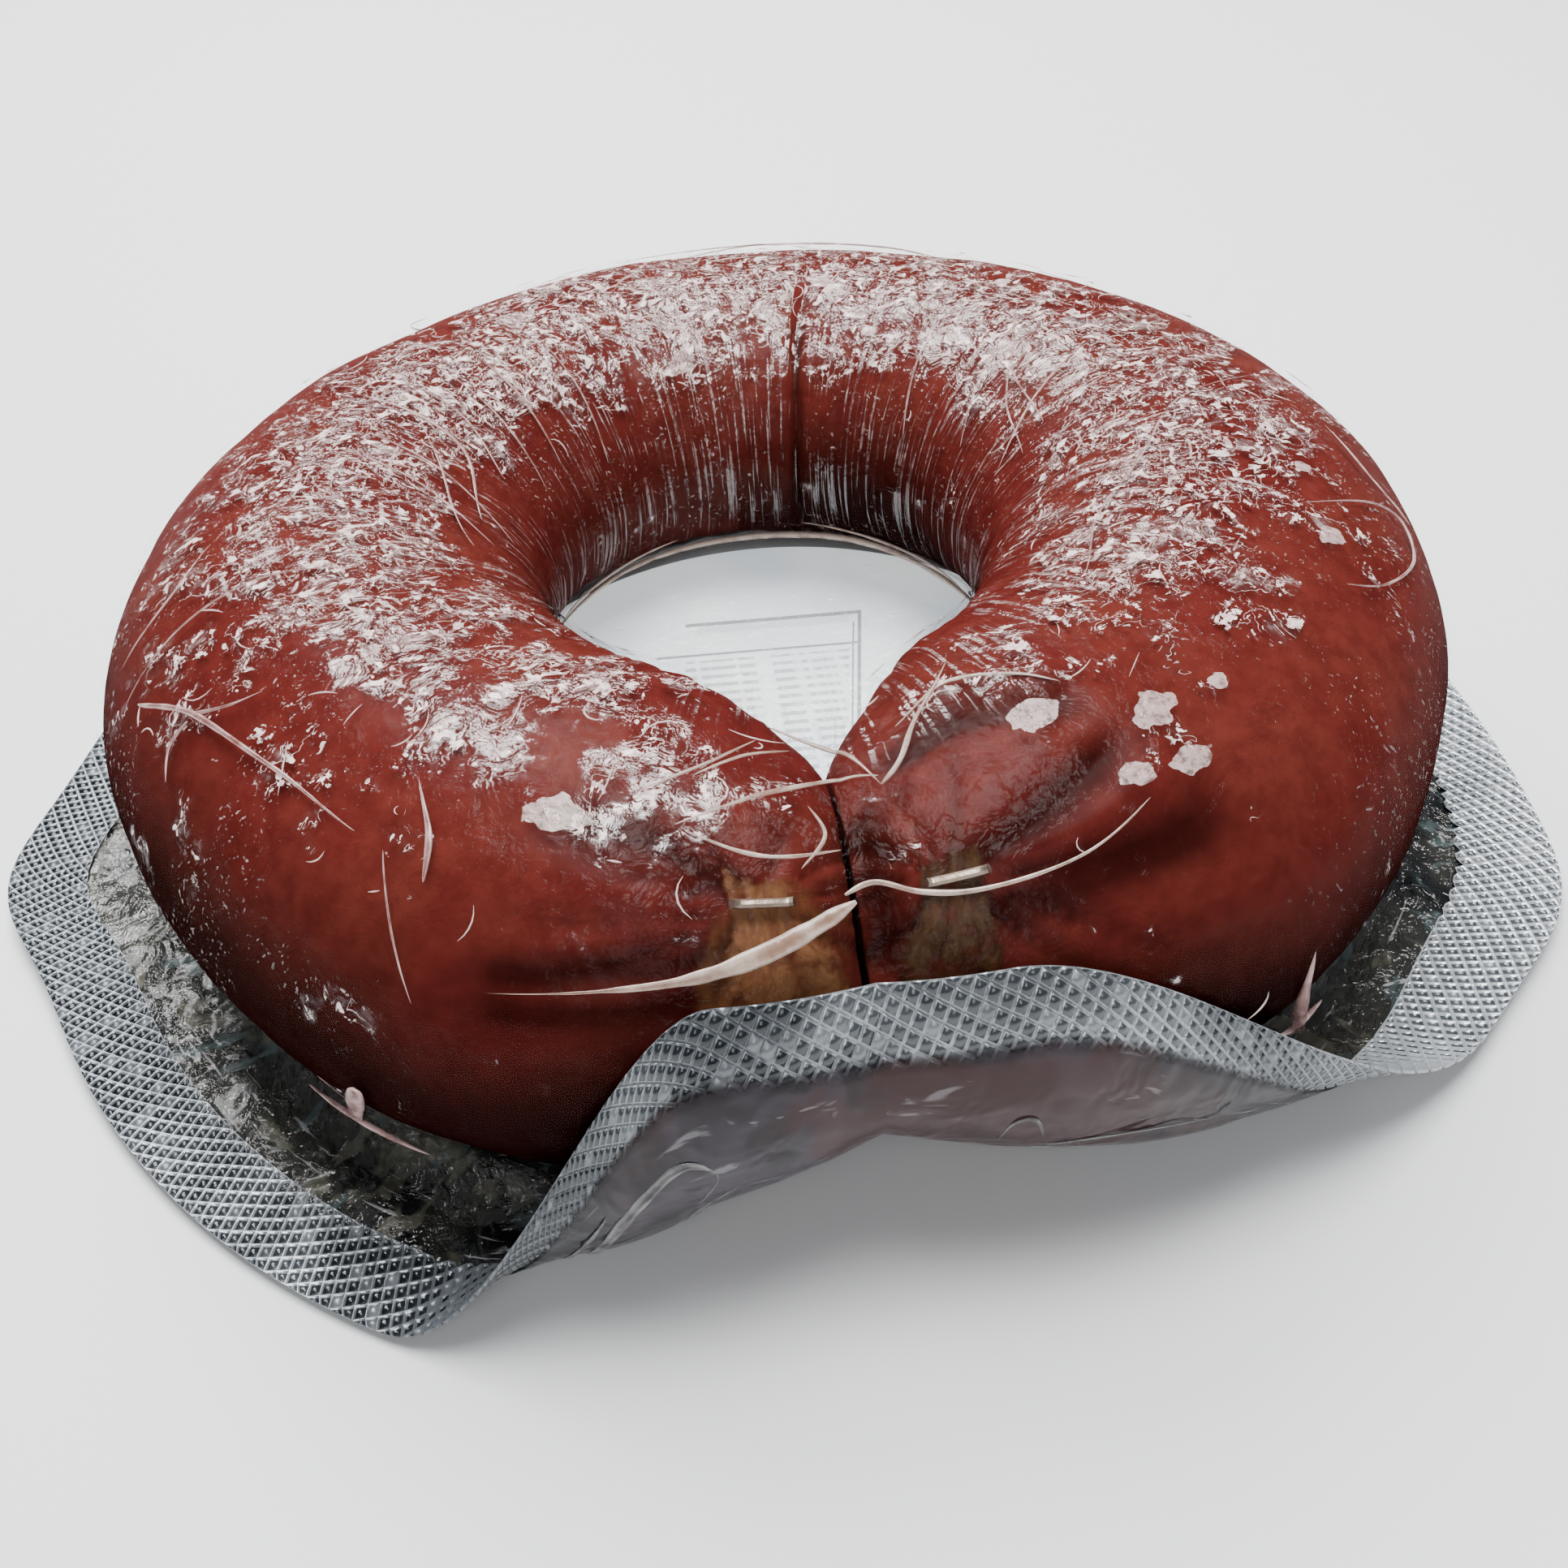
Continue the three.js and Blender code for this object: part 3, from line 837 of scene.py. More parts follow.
def make_film_skin(settings):
    t, a, points = film_path(settings)
    steps = np.linalg.norm(np.diff(points, axis=0), axis=-1).mean(1)
    reach = np.concatenate([[0], np.cumsum(steps)])[:, None]
    uv = surface_uv(t * T_RUN, reach, *points.shape[:2])
    centre = place(0.0, 0.0, float(base_height(0.0)) + SEAL)
    on_tube = smooth(np.sin(a), math.sin(UNDERCUT), -0.55)
    inwards = smooth(-np.cos(a), -0.1, 0.35) * (1 - 0.8 * smooth(a, 2.9, 3.7)) * on_tube
    attributes = {
        "crinkled": crinkled(t, a),
        "on_tube": on_tube,
        "inwards": inwards,
        "facet": facet_reflections(t, a),
        "specked": smooth(np.abs(np.degrees(turned(t))), 22, 52),
        "crest": smooth(np.sin(a), 0.2, 1.0),
    }
    return make_mesh("film_skin", *round_grid(points, uv, attributes, pole=centre))


def film_finish(settings):
    f = Finish("drawn clear film")
    where = f.position()
    dense, on_tube = f.attribute("crinkled"), f.attribute("on_tube")
    bent = f.moved(where, f.noise(where, 6, 2, 0.5, output=1), 6.0)
    clusters = f.noise(where, 8, 3, 0.65)
    crowd = f.step(clusters * 1.5 + dense * 0.6, 1.0, 1.3)
    ridges = abs(f.noise(bent, 3.6, 3, 0.6) - 0.5)
    worms = (1 - f.step(ridges, 0.002, 0.009)) * f.step(crowd, 0.02, 0.4)
    islands = f.noise(bent, 1.7, 3, 0.6)
    blots = f.step(islands + crowd * 0.04, 0.618, 0.63) * f.step(crowd, 0.05, 0.3)
    speckled = f.step(f.noise(where, 13, 3, 0.6), 0.4, 0.56)
    fine = f.step(f.noise(bent, 0.62, 3, 0.6), 0.62, 0.66)
    specks = fine * speckled * f.attribute("specked")
    drawn_out = f.noise(f.surface(0.14, 1.0), 0.8, 3, 0.6, 0.8)
    flow = f.step(drawn_out, 0.6, 0.64) * f.step(dense, 0.3, 0.75) * crowd
    sheen_veil = f.step(f.noise(bent, 4.2, 3, 0.65), 0.4, 0.66) * crowd
    wall = f.noise(f.surface(1.0, 0.035), 1.0, 3, 0.65)
    streaks = f.step(wall, 0.53, 0.6) * f.attribute("inwards") * f.step(clusters, 0.34, 0.56)
    # Painted reflections on flat patches of the film.
    sheen = f.step(f.attribute("facet") + (f.noise(where, 2.4, 1.5, 0.5) - 0.5) * 0.7, 0.5, 0.53)
    # The crinkle marks: partly the film's own whitening where it crinkles and partly painted
    # highlights, with a painted sheen veil.
    crinkle_highlights = worms * 0.85
    crinkle_highlights = crinkle_highlights.largest(blots)
    crinkle_highlights = crinkle_highlights.largest(flow * 0.6)
    crinkle_highlights = crinkle_highlights.largest(sheen_veil * 0.28)
    crinkle_highlights = crinkle_highlights.largest(streaks * 0.3)
    crinkle_highlights = crinkle_highlights.largest(specks * 0.4)
    patchy = f.step(f.noise(where, 1.3, 3, 0.7), 0.34, 0.6) * 0.55 + 0.45
    shown = (crinkle_highlights * on_tube * patchy * settings.crinkle_highlight_strength).largest(sheen * patchy * 0.42)
    # Painted shade: a dark rim round each blot of highlight.
    rim = f.step(islands + crowd * 0.04, 0.598, 0.612) * f.step(crowd, 0.05, 0.3) * on_tube * 0.5
    gloss = f.node("ShaderNodeLayerWeight", None, {"Blend": 0.12}, output="Fresnel")
    loose = 1 - on_tube
    cover = (shown.largest(rim) + gloss * (loose * 0.35 + 0.006) + loose * 0.05 + 0.004).clamped()
    pale = f.step(shown, 0.08, 0.3)
    dark = f.blend(f.step(rim, 0.1, 0.3), (0.95, 0.92, 0.91), (0.02, 0.003, 0.003))
    crumpled = f.noise(bent, 2.4, 3, 0.6) * (dense * 0.6 + loose * 0.8 + 0.36)
    shader = f.skin(
        Base_Color=f.blend(pale, dark, settings.crinkle_highlight_tint),
        # Painted glints: the pale marks on the crest glow a little.
        Emission_Color=f.blend(pale * f.attribute("crest"), (0, 0, 0), (1, 0.95, 0.94)),
        Emission_Strength=0.3,
        Roughness=0.16,
        Metallic=1 - pale,
        Normal=f.bump(crumpled, 1.1, f.bump(f.noise(where, 6, 2), 0.6)),
        Coat_Weight=0.2,
    )
    return f.finished(f.seen_through(shader, cover))


def make_base_film():
    t = round_the_ring(BASE_COLUMNS)
    rows, reach = [], []
    cut = Section(t, BRIDGE)
    rim = LABEL_RADIUS + 1
    for radius in (4, 20, 38, rim, rim + LABEL_RAMP):
        rows.append(place(t, radius, base_height(radius)))
        reach.append(radius)
    outer = cut.radius + cut.outer * 0.3
    rows.append(place(t, outer, FILM / 2))
    reach.append(78)
    last_w = 1 - (band_width(t) - BASE_OVERLAP) / flange_length(t)
    for share in np.linspace(0, 1, BASE_ROWS):
        radius, height = flange(t, last_w * share, -SEAL * (1 - 0.35 * smooth(share, 0.8, 1)))
        points = place(t, radius, height)
        slack = flap_share(t) * np.sin(np.pi * share)
        points[:, 1] -= slack * (0.6 * rough(points, 12, 50) + 0.35 * rough(points, 5, 53))
        points[:, 2] = np.maximum(points[:, 2], FILM / 2)
        rows.append(points)
        reach.append(84 + share * 24)
    points = np.stack(rows)
    uv = surface_uv(t * BASE_RUN, np.array(reach)[:, None], *points.shape[:2])
    centre = place(0.0, 0.0, float(base_height(0.0)))
    clear = 1 - smooth(np.hypot(points[..., 0], points[..., 1]), 52, 62)
    sealed = np.zeros(points.shape[:2])
    sealed[-3:] = np.array([0.0, 0.5, 1.0])[:, None]
    attributes = {"clear": clear, "folded": flap_share(t), "sealed": sealed}
    return make_mesh("base_film_sheet", *round_grid(points, uv, attributes, pole=centre))


def base_finish():
    f = Finish("smoky base film")
    where = f.position()
    clear, folded = f.attribute("clear"), f.attribute("folded")
    broad = f.noise(where, 26, 3, 0.6, 0.8)
    sheen = f.noise(where, 11, 3, 0.55, 1.6)
    ground = f.blend(f.step(broad, 0.42, 0.56), (0.004, 0.006, 0.007), (0.032, 0.033, 0.028))
    olive = f.blend(f.step(sheen, 0.54, 0.64), ground, (0.1, 0.1, 0.075))
    teal = f.blend(f.step(f.noise(where, 15, 3, 0.6, 1.8), 0.57, 0.66), olive, (0.07, 0.1, 0.1))
    purple = f.blend(f.step(sheen, 0.4, 0.62), (0.012, 0.007, 0.011), (0.04, 0.031, 0.043))
    reddish = f.blend(f.step(broad, 0.5, 0.6) * 0.6, purple, (0.05, 0.008, 0.006))
    colour = f.blend(folded, teal, reddish)
    flow = f.surface(0.25, 1.0)
    scratches = f.step(f.noise(flow, 2.4, 3, 0.6, 0.6), 0.63, 0.7) * (0.55 - folded * 0.3)
    marked = f.blend(scratches, colour, (0.5, 0.5, 0.52))
    cover = (0.9 - clear * 0.86 + scratches * 0.1).clamped() * (1 - f.attribute("sealed"))
    puckers = f.noise(where, 8, 2, 0.5, 0.8) * (1 - folded * 0.6)
    shader = f.skin(
        Base_Color=marked,
        Roughness=f.step(sheen, 0.3, 0.7) * 0.1 + 0.1,
        Specular_IOR_Level=0.3,
        Normal=f.bump(puckers, 2.4),
    )
    return f.finished(f.seen_through(shader, cover))


# ---- the seal ------------------------------------------------------------------------


EDGE_STEPS = 2880
MOST_PIT_ROWS = 10
SEAL_SEED = 7


class Edge:
    """The pack's edge, measured along its length in millimetres."""

    def __init__(self):
        self.t = round_the_ring(EDGE_STEPS)
        points = place(self.t, *flange(self.t, np.ones_like(self.t)))
        steps = np.linalg.norm(np.diff(points, axis=0), axis=1)
        self.run = np.concatenate([[0], np.cumsum(steps)])
        self.length = self.run[-1]

    def angle(self, distance):
        return np.interp(distance % self.length, self.run, self.t)


def seal_cells(settings):
    """One flat cell for each embossed pit, on a lattice that runs askew to the pack's edge."""
    edge = Edge()
    pitch = settings.pitch / MM
    count = round(edge.length / pitch)
    rise = round(settings.slope * count)
    index, places, cells = {}, [], []

    def corner(p, q):
        key = (p % count, q + rise * (p // count))
        if key not in index:
            index[key] = len(places)
            inwards = (key[1] + rise * key[0] / count) * pitch
            along = key[0] * edge.length / count - settings.lean * inwards
            places.append((along, max(inwards, 0.0)))
        return index[key]

    columns = np.arange(count) + 0.5
    widths = band_width(edge.angle(columns * edge.length / count))
    for p, width in enumerate(widths):
        for q in range(-rise - 1, MOST_PIT_ROWS):
            middle = (q + 0.5 + rise * columns[p] / count) * pitch
            if -0.35 * pitch < middle < width + 0.35 * pitch:
                corners = (p, q), (p + 1, q), (p + 1, q + 1), (p, q + 1)
                cells.append([corner(*place) for place in corners])
    along, inwards = np.array(places).T
    t = edge.angle(along)
    inwards = np.minimum(inwards, band_width(t) + pitch * smooth(flap_share(t), 0.1, 0.6))
    w = 1 - inwards / flange_length(t)
    radius, height = flange(t, w, 0.1)
    points = place(t, radius, height)
    ripple = 0.35 * rough(points, 14, 61) + 0.12 * rough(points, 5, 63)
    points[:, 2] += ripple * smooth(inwards, -1, 6) + 0.25
    return make_mesh("seal_cells", points, cells)


def emboss(settings, material):
    r = Recipe("embossed seal")
    rim = r.given("Rim", "NodeSocketFloat", settings.rim)
    depth = r.given("Pit Depth", "NodeSocketFloat", settings.pit_depth)
    floor = r.given("Pit Floor", "NodeSocketFloat", settings.pit_floor)
    seed = r.given("Seed", "NodeSocketInt", SEAL_SEED)
    chance = r.node(
        "FunctionNodeRandomValue",
        {"data_type": "FLOAT"},
        {"Min": 0.0, "Max": 1.0, "Seed": seed},
        output=1,
    )

    def stored(geometry, name, value):
        return r.node(
            "GeometryNodeStoreNamedAttribute",
            {"data_type": "FLOAT", "domain": "FACE"},
            {"Geometry": geometry, "Name": name, "Value": value},
        )

    def pushed(inputs, by):
        """Each face pushed out on its own by so much, and the selection of the moved faces."""
        shaped = r.node(
            "GeometryNodeExtrudeMesh",
            {"mode": "FACES"},
            {**inputs, "Offset Scale": by, "Individual": True},
        )
        return shaped, Value(r, shaped.socket.node.outputs["Top"])

    def scaled(geometry, selection, by):
        inputs = {"Geometry": geometry, "Selection": selection, "Scale": by}
        return r.node("GeometryNodeScaleElements", None, inputs)

    inset, top = pushed({"Mesh": stored(r.geometry(), "glint", chance)}, 0.0)
    rimmed = scaled(inset, top, 1.0 - rim)
    sunk, bottom = pushed({"Mesh": rimmed, "Selection": top}, depth * -1.0)
    pitted = stored(scaled(sunk, bottom, floor), "pit", bottom)
    return r.run(seal_cells(settings), "seal_band", pitted, material)


def seal_finish():
    f = Finish("embossed seal")
    where = f.position()
    pit, glint = f.attribute("pit"), f.attribute("glint")
    # Random zones of tone, with painted shade darker towards -X, on the left.
    tone_and_left_shade = f.noise(where, 26, 2, 0.5, 0.5) + f.axis(where, "X") * 2.2
    rim = f.blend(f.step(tone_and_left_shade, 0.35, 0.7), (0.13, 0.145, 0.16), (0.5, 0.53, 0.56))
    # Painted shade: the pits are darker than the rims round them, and painted glints light some of
    # them.
    shaded_pit = f.blend(f.step(tone_and_left_shade, 0.4, 0.6), (0.012, 0.016, 0.02), (0.08, 0.09, 0.1))
    lit = f.blend(f.step(glint, 0.8, 0.98) * 0.4, shaded_pit, (0.4, 0.43, 0.46))
    colour = f.blend(pit, rim, lit)
    shader = f.skin(
        Base_Color=colour,
        Roughness=f.step(glint, 0.2, 0.9) * 0.18 + 0.16,
        Metallic=0.35,
        Normal=f.bump(f.noise(where, 1.1, 2), 0.12),
        Coat_Weight=0.3,
    )
    return f.finished(shader)


# ---- folds in the film ---------------------------------------------------------------

# How full every fold is, as a share of the half sizes below.
FOLD_FULLNESS = 0.75
FOLD_STEPS, FOLD_SIDES, SHORT_FOLD_SIDES = 10, 8, 5
# Long folds in the drawn film: places (t, a) in degrees that each one passes, its half width and
# half height in millimetres, how far off the tube its middle is, and how far along it is widest.
LONG_FOLDS = (
    ([(-68, 42), (-60, 53), (-47, 57), (-37, 55)], 0.5, 0.3, 1.0, 0.3),
    ([(-60, 53), (-57, 60), (-55, 67)], 0.3, 0.22, 1.0, 0.2),
    ([(-60, 51), (-60, 44), (-58, 38)], 0.32, 0.25, 1.0, 0.3),
    ([(-70, 38), (-72, 62), (-72, 82), (-68, 100)], 0.24, 0.2, 1.0, 0.5),
    ([(-75, 40), (-78, 58), (-84, 70)], 0.22, 0.2, 1.0, 0.5),
    ([(-34, 69), (-31, 60), (-30, 51)], 0.5, 0.2, 1.0, 0.6),
    ([(-34, 54), (-32, 44), (-29, 28)], 0.18, 0.16, 1.0, 0.5),
    ([(-120, 84), (-118, 117), (-112, 130), (-95, 138)], 0.4, 0.25, 1.0, 0.5),
    ([(-118, 110), (-105, 124), (-80, 134)], 0.25, 0.2, 1.0, 0.5),
    ([(-126, 96), (-124, 120), (-116, 140)], 0.22, 0.2, 1.0, 0.5),
    ([(38, 108), (55, 116), (75, 108), (88, 97), (94, 73)], 0.3, 0.25, 1.0, 0.4),
    ([(100, 128), (118, 122), (128, 104), (132, 90)], 0.28, 0.22, 1.0, 0.4),
    ([(96, 138), (112, 132), (122, 118)], 0.22, 0.2, 1.0, 0.5),
    ([(64, 72), (70, 55), (71, 44), (66, 41), (58, 50), (54, 59)], 0.3, 0.25, 1.0, 0.5),
    ([(84, 60), (76, 52), (72, 40)], 0.22, 0.2, 1.0, 0.5),
    ([(-104, 96), (-98, 120), (-86, 142)], 0.2, 0.2, 1.0, 0.5),
    ([(-110, 100), (-105, 126), (-95, 150)], 0.24, 0.22, 1.0, 0.4),
    ([(-132, 104), (-130, 128), (-126, 152)], 0.2, 0.2, 1.0, 0.5),
    ([(-139, 98), (-138, 124), (-135, 150)], 0.26, 0.24, 1.0, 0.4),
    ([(-150, 106), (-150, 132), (-148, 158)], 0.2, 0.2, 1.0, 0.5),
    ([(141, 110), (140, 134), (137, 156)], 0.22, 0.2, 1.0, 0.5),
    ([(127, 106), (124, 130), (118, 150)], 0.24, 0.22, 1.0, 0.4),
    ([(113, 102), (108, 126), (99, 148)], 0.22, 0.2, 1.0, 0.5),
    ([(150, 34), (158, 50), (172, 58), (190, 52)], 0.3, 0.25, 1.0, 0.4),
    ([(172, 58), (176, 70), (184, 80)], 0.24, 0.2, 1.0, 0.3),
    ([(206, 20), (214, 38), (218, 60)], 0.28, 0.22, 1.0, 0.5),
    ([(118, 12), (126, 30), (140, 44)], 0.26, 0.22, 1.0, 0.4),
    ([(196, 2), (188, 14), (176, 20)], 0.22, 0.2, 1.0, 0.5),
    ([(-112, -28), (-90, -34), (-64, -36), (-40, -32)], 0.35, 0.3, 1.1, 0.5),
    ([(52, -30), (70, -35), (92, -34), (110, -30)], 0.35, 0.3, 1.1, 0.5),
    ([(29, 11), (28.3, 2), (28.5, -8), (30, -18), (32, -24)], 0.9, 1.2, 1.6, 0.6),
    ([(27, -12), (30, -19), (34, -22)], 0.9, 0.6, 1.5, 0.5),
    ([(-33.5, 1), (-34.5, -8), (-35.5, -16), (-37, -26)], 1.5, 0.6, 1.4, 0.25),
    ([(-42, -24), (-36, -22), (-31, -26)], 0.6, 0.5, 1.4, 0.5),
)
# The film drawn into ribbons and strands across the ends, and its roll round the hole: as above.
END_FOLDS = (
    ([(-24, 34), (-17, 37), (-11, 40), (-6, 45), (-0.5, 53)], 1.3, 0.3, 1.4, 0.75),
    ([(-1.2, 55), (1, 57), (4, 53), (8, 51), (15, 52), (21, 57)], 0.42, 0.25, 1.2, 0.3),
    ([(-13, 71), (-9, 77), (-6, 81), (0, 86), (3, 84)], 0.38, 0.25, 1.2, 0.5),
    ([(-12, 70), (-8, 66), (-5, 65), (-1, 66)], 0.34, 0.22, 1.0, 0.5),
    ([(-6, 104), (-1, 98), (1, 94), (3, 81)], 0.36, 0.28, 1.3, 0.5),
    ([(3, 81), (5, 86), (8, 97), (14, 109)], 0.4, 0.3, 1.3, 0.4),
    ([(-3, 78), (-2, 70), (-4, 62)], 0.3, 0.22, 1.0, 0.5),
    ([(-12, 84), (-8, 92), (-4, 96)], 0.28, 0.2, 1.0, 0.5),
    ([(-16, 78), (-11, 88), (-7, 98)], 0.24, 0.2, 1.0, 0.5),
    ([(6, 98), (12, 104), (18, 96), (21, 88)], 0.34, 0.25, 0.9, 0.5),
    ([(95, 214), (120, 219), (150, 215), (180, 220), (210, 216), (245, 220)], 1.0, 0.7, 1.6, 0.5),
    ([(110, 205), (140, 210), (165, 206)], 0.4, 0.3, 1.2, 0.5),
    ([(195, 208), (220, 211), (240, 206)], 0.4, 0.3, 1.2, 0.5),
)
# Folds in the outer side of the folded flange: places (t, w), then as above.
FLAP_FOLDS = (
    (
        [(-22, 0.06), (-19, 0.3), (-16, 0.5), (-12.5, 0.6), (-10.5, 0.5), (-12, 0.34)],
        0.9, 0.3, 0.1, 0.45,
    ),
    ([(-24, 0.1), (-21, 0.34), (-17, 0.58)], 0.5, 0.25, 0.1, 0.5),
    ([(-14, 0.1), (-12, 0.26), (-9, 0.4)], 0.35, 0.2, 0.1, 0.5),
    ([(7, 0.36), (7.6, 0.5), (9, 0.52), (9.8, 0.4)], 0.35, 0.25, 0.1, 0.5),
    ([(10, 0.3), (14, 0.4), (21, 0.5)], 0.25, 0.2, 0.1, 0.5),
    ([(16, 0.22), (22, 0.3), (30, 0.36)], 0.3, 0.2, 0.1, 0.5),
    ([(-6, 0.1), (2, 0.16), (12, 0.12), (24, 0.14)], 0.3, 0.2, 0.1, 0.5),
)


def smoothed(line, steps):
    """A smooth run of places through a line's places."""
    stops = np.array([line[0], *line, line[-1]], float)
    run = []
    for p0, p1, p2, p3 in zip(stops, stops[1:], stops[2:], stops[3:]):
        for x in np.linspace(0, 1, steps, endpoint=False):
            steady = 2 * p1 + (p2 - p0) * x
            bending = (2 * p0 - 5 * p1 + 4 * p2 - p3) * x**2
            turning = (3 * p1 - p0 - 3 * p2 + p3) * x**3
            run.append((steady + bending + turning) / 2)
    return np.array([*run, stops[-1]])


def on_film(t, a, offset):
    """A point on the film over the tube: t and a in degrees."""
    t, a = np.radians([t, a])
    return place(t, *Section(t, BRIDGE).at(a, offset))


def on_flap(t, w, offset):
    """A point on the outer side of the folded flange: t in degrees and w from its foot up."""
    t = np.radians(t)
    return place(t, *flange(t, w, -SEAL - offset))


def strip(line, half_width, half_height, stand_off, widest, lie=on_film):
    """A flattened, tapering roll of film along a line of places on the surface that lie gives."""
    t, a = smoothed(line, FOLD_STEPS).T
    middle = lie(t, a, stand_off)
    out = lie(t, a, stand_off + 1) - middle
    along = np.gradient(middle, axis=0)
    across = np.cross(along, out)
    across /= np.linalg.norm(across, axis=-1, keepdims=True)
    half_width, half_height = half_width * FOLD_FULLNESS, half_height * FOLD_FULLNESS
    x = np.linspace(0.02, 0.98, len(t)) ** (math.log(0.5) / math.log(widest))
    taper = (np.sin(np.pi * x) ** 0.8 * (1 + 0.3 * rough(middle, 3, 70)))[:, None, None]
    turn = round_the_ring(FOLD_SIDES)[None, :, None]
    sides = across[:, None] * half_width * np.cos(turn) + out[:, None] * half_height * np.sin(turn)
    points = middle[:, None] + sides * taper
    steps = np.linalg.norm(np.diff(middle, axis=0), axis=-1)
    run = np.concatenate([[0], np.cumsum(steps)])[:, None]
    uv = surface_uv(run, turn[..., 0] * half_width, *points.shape[:2])
    edge = {"edge": np.abs(np.cos(turn[..., 0]))}
    return round_grid(points, uv, edge, pole=middle[0], end_pole=middle[-1])


def short_lines(settings):
    """The lines that the short folds follow, as one curve object with a radius at each point."""
    curve = bpy.data.curves.new("short_lines", "CURVE")
    curve.dimensions = "3D"
    random = np.random.default_rng(settings.seed)
    while len(curve.splines) < settings.short_folds:
        t, a = random.uniform(-180, 180), random.normal(95, 34)
        keep, heading, bend = random.uniform(0, 1), random.normal(0.5, 0.9), random.normal(0, 0.5)
        length, half = random.uniform(1.0, 5.5), random.uniform(0.05, 0.13)
        if keep > crinkled(math.radians(t), math.radians(a)):
            continue
        x = np.linspace(-0.5, 0.5, 6)
        turn = heading + bend * x * 2
        t, a = np.radians([t + np.cos(turn) * x * length, a + np.sin(turn) * x * length * 2.2])
        points = place(t, *Section(t, BRIDGE).at(a, 1.0)) * MM
        spline = curve.splines.new("POLY")
        spline.points.add(len(points) - 1)
        taper = np.sin(np.pi * np.linspace(0.05, 0.95, len(points)))
        for stop, p, share in zip(spline.points, points, taper):
            stop.co = (*p, 1)
            stop.radius = share * half * MM
    piece = bpy.data.objects.new("short_lines", curve)
    bpy.context.scene.collection.objects.link(piece)
    return piece


def make_folds(name, folds, lie=on_film):
    return joined_piece(name, [strip(*fold, lie=lie) for fold in folds])


def make_short_folds(settings, material):
    r = Recipe("short folds")
    sides = r.given("Sides", "NodeSocketInt", SHORT_FOLD_SIDES)
    circle = {"Resolution": sides, "Radius": 1.0}
    profile = r.node("GeometryNodeCurvePrimitiveCircle", {"mode": "RADIUS"}, circle)
    radius = r.node("GeometryNodeInputRadius")
    sweep = {"Curve": r.geometry(), "Profile Curve": profile, "Scale": radius, "Fill Caps": True}
    tubes = r.node("GeometryNodeCurveToMesh", None, sweep)
    rounded = r.node("GeometryNodeSetShadeSmooth", None, {"Geometry": tubes, "Shade Smooth": True})
    return r.run(short_lines(settings), "short_folds", rounded, material)


def fold_finish(name, ridge, middle, least):
    """Film folded double: pale along its edges and clearer between them, least of it everywhere."""
    f = Finish(name)
    mottle = f.noise(f.position(), 3.5, 3, 0.6)
    bright = f.step(f.attribute("edge") * 0.25 + mottle, 0.36, 0.82)
    colour = f.blend(bright, middle, ridge)
    shader = f.skin(Base_Color=colour, Roughness=0.18, Coat_Weight=0.4, Normal=f.bump(mottle, 0.25))
    return f.finished(f.seen_through(shader, (bright * (0.85 - least) + least).clamped()))


# ---- the label -----------------------------------------------------------------------


def make_label():
    """A round paper label with a softly rounded edge."""
    t = round_the_ring(LABEL_COLUMNS)
    profile = (
        (8, LABEL_THICKNESS),
        (30, LABEL_THICKNESS),
        (LABEL_RADIUS - 0.5, LABEL_THICKNESS),
        (LABEL_RADIUS - 0.1, LABEL_THICKNESS - 0.06),
        (LABEL_RADIUS, LABEL_THICKNESS / 2),
        (LABEL_RADIUS - 0.1, 0.04),
        (LABEL_RADIUS - 0.4, 0.0),
        (30, 0.0),
        (8, 0.0),
    )
    points = np.stack([place(t, r, z) for r, z in profile])
    reach = np.cumsum([r for r, _ in profile])[:, None]
    uv = surface_uv(t * LABEL_RUN, reach, *points.shape[:2])
    centre = place(0.0, 0.0, LABEL_THICKNESS)
    under = place(0.0, 0.0, 0.0)
    return make_mesh("paper_disc", *round_grid(points, uv, {}, pole=centre, end_pole=under))


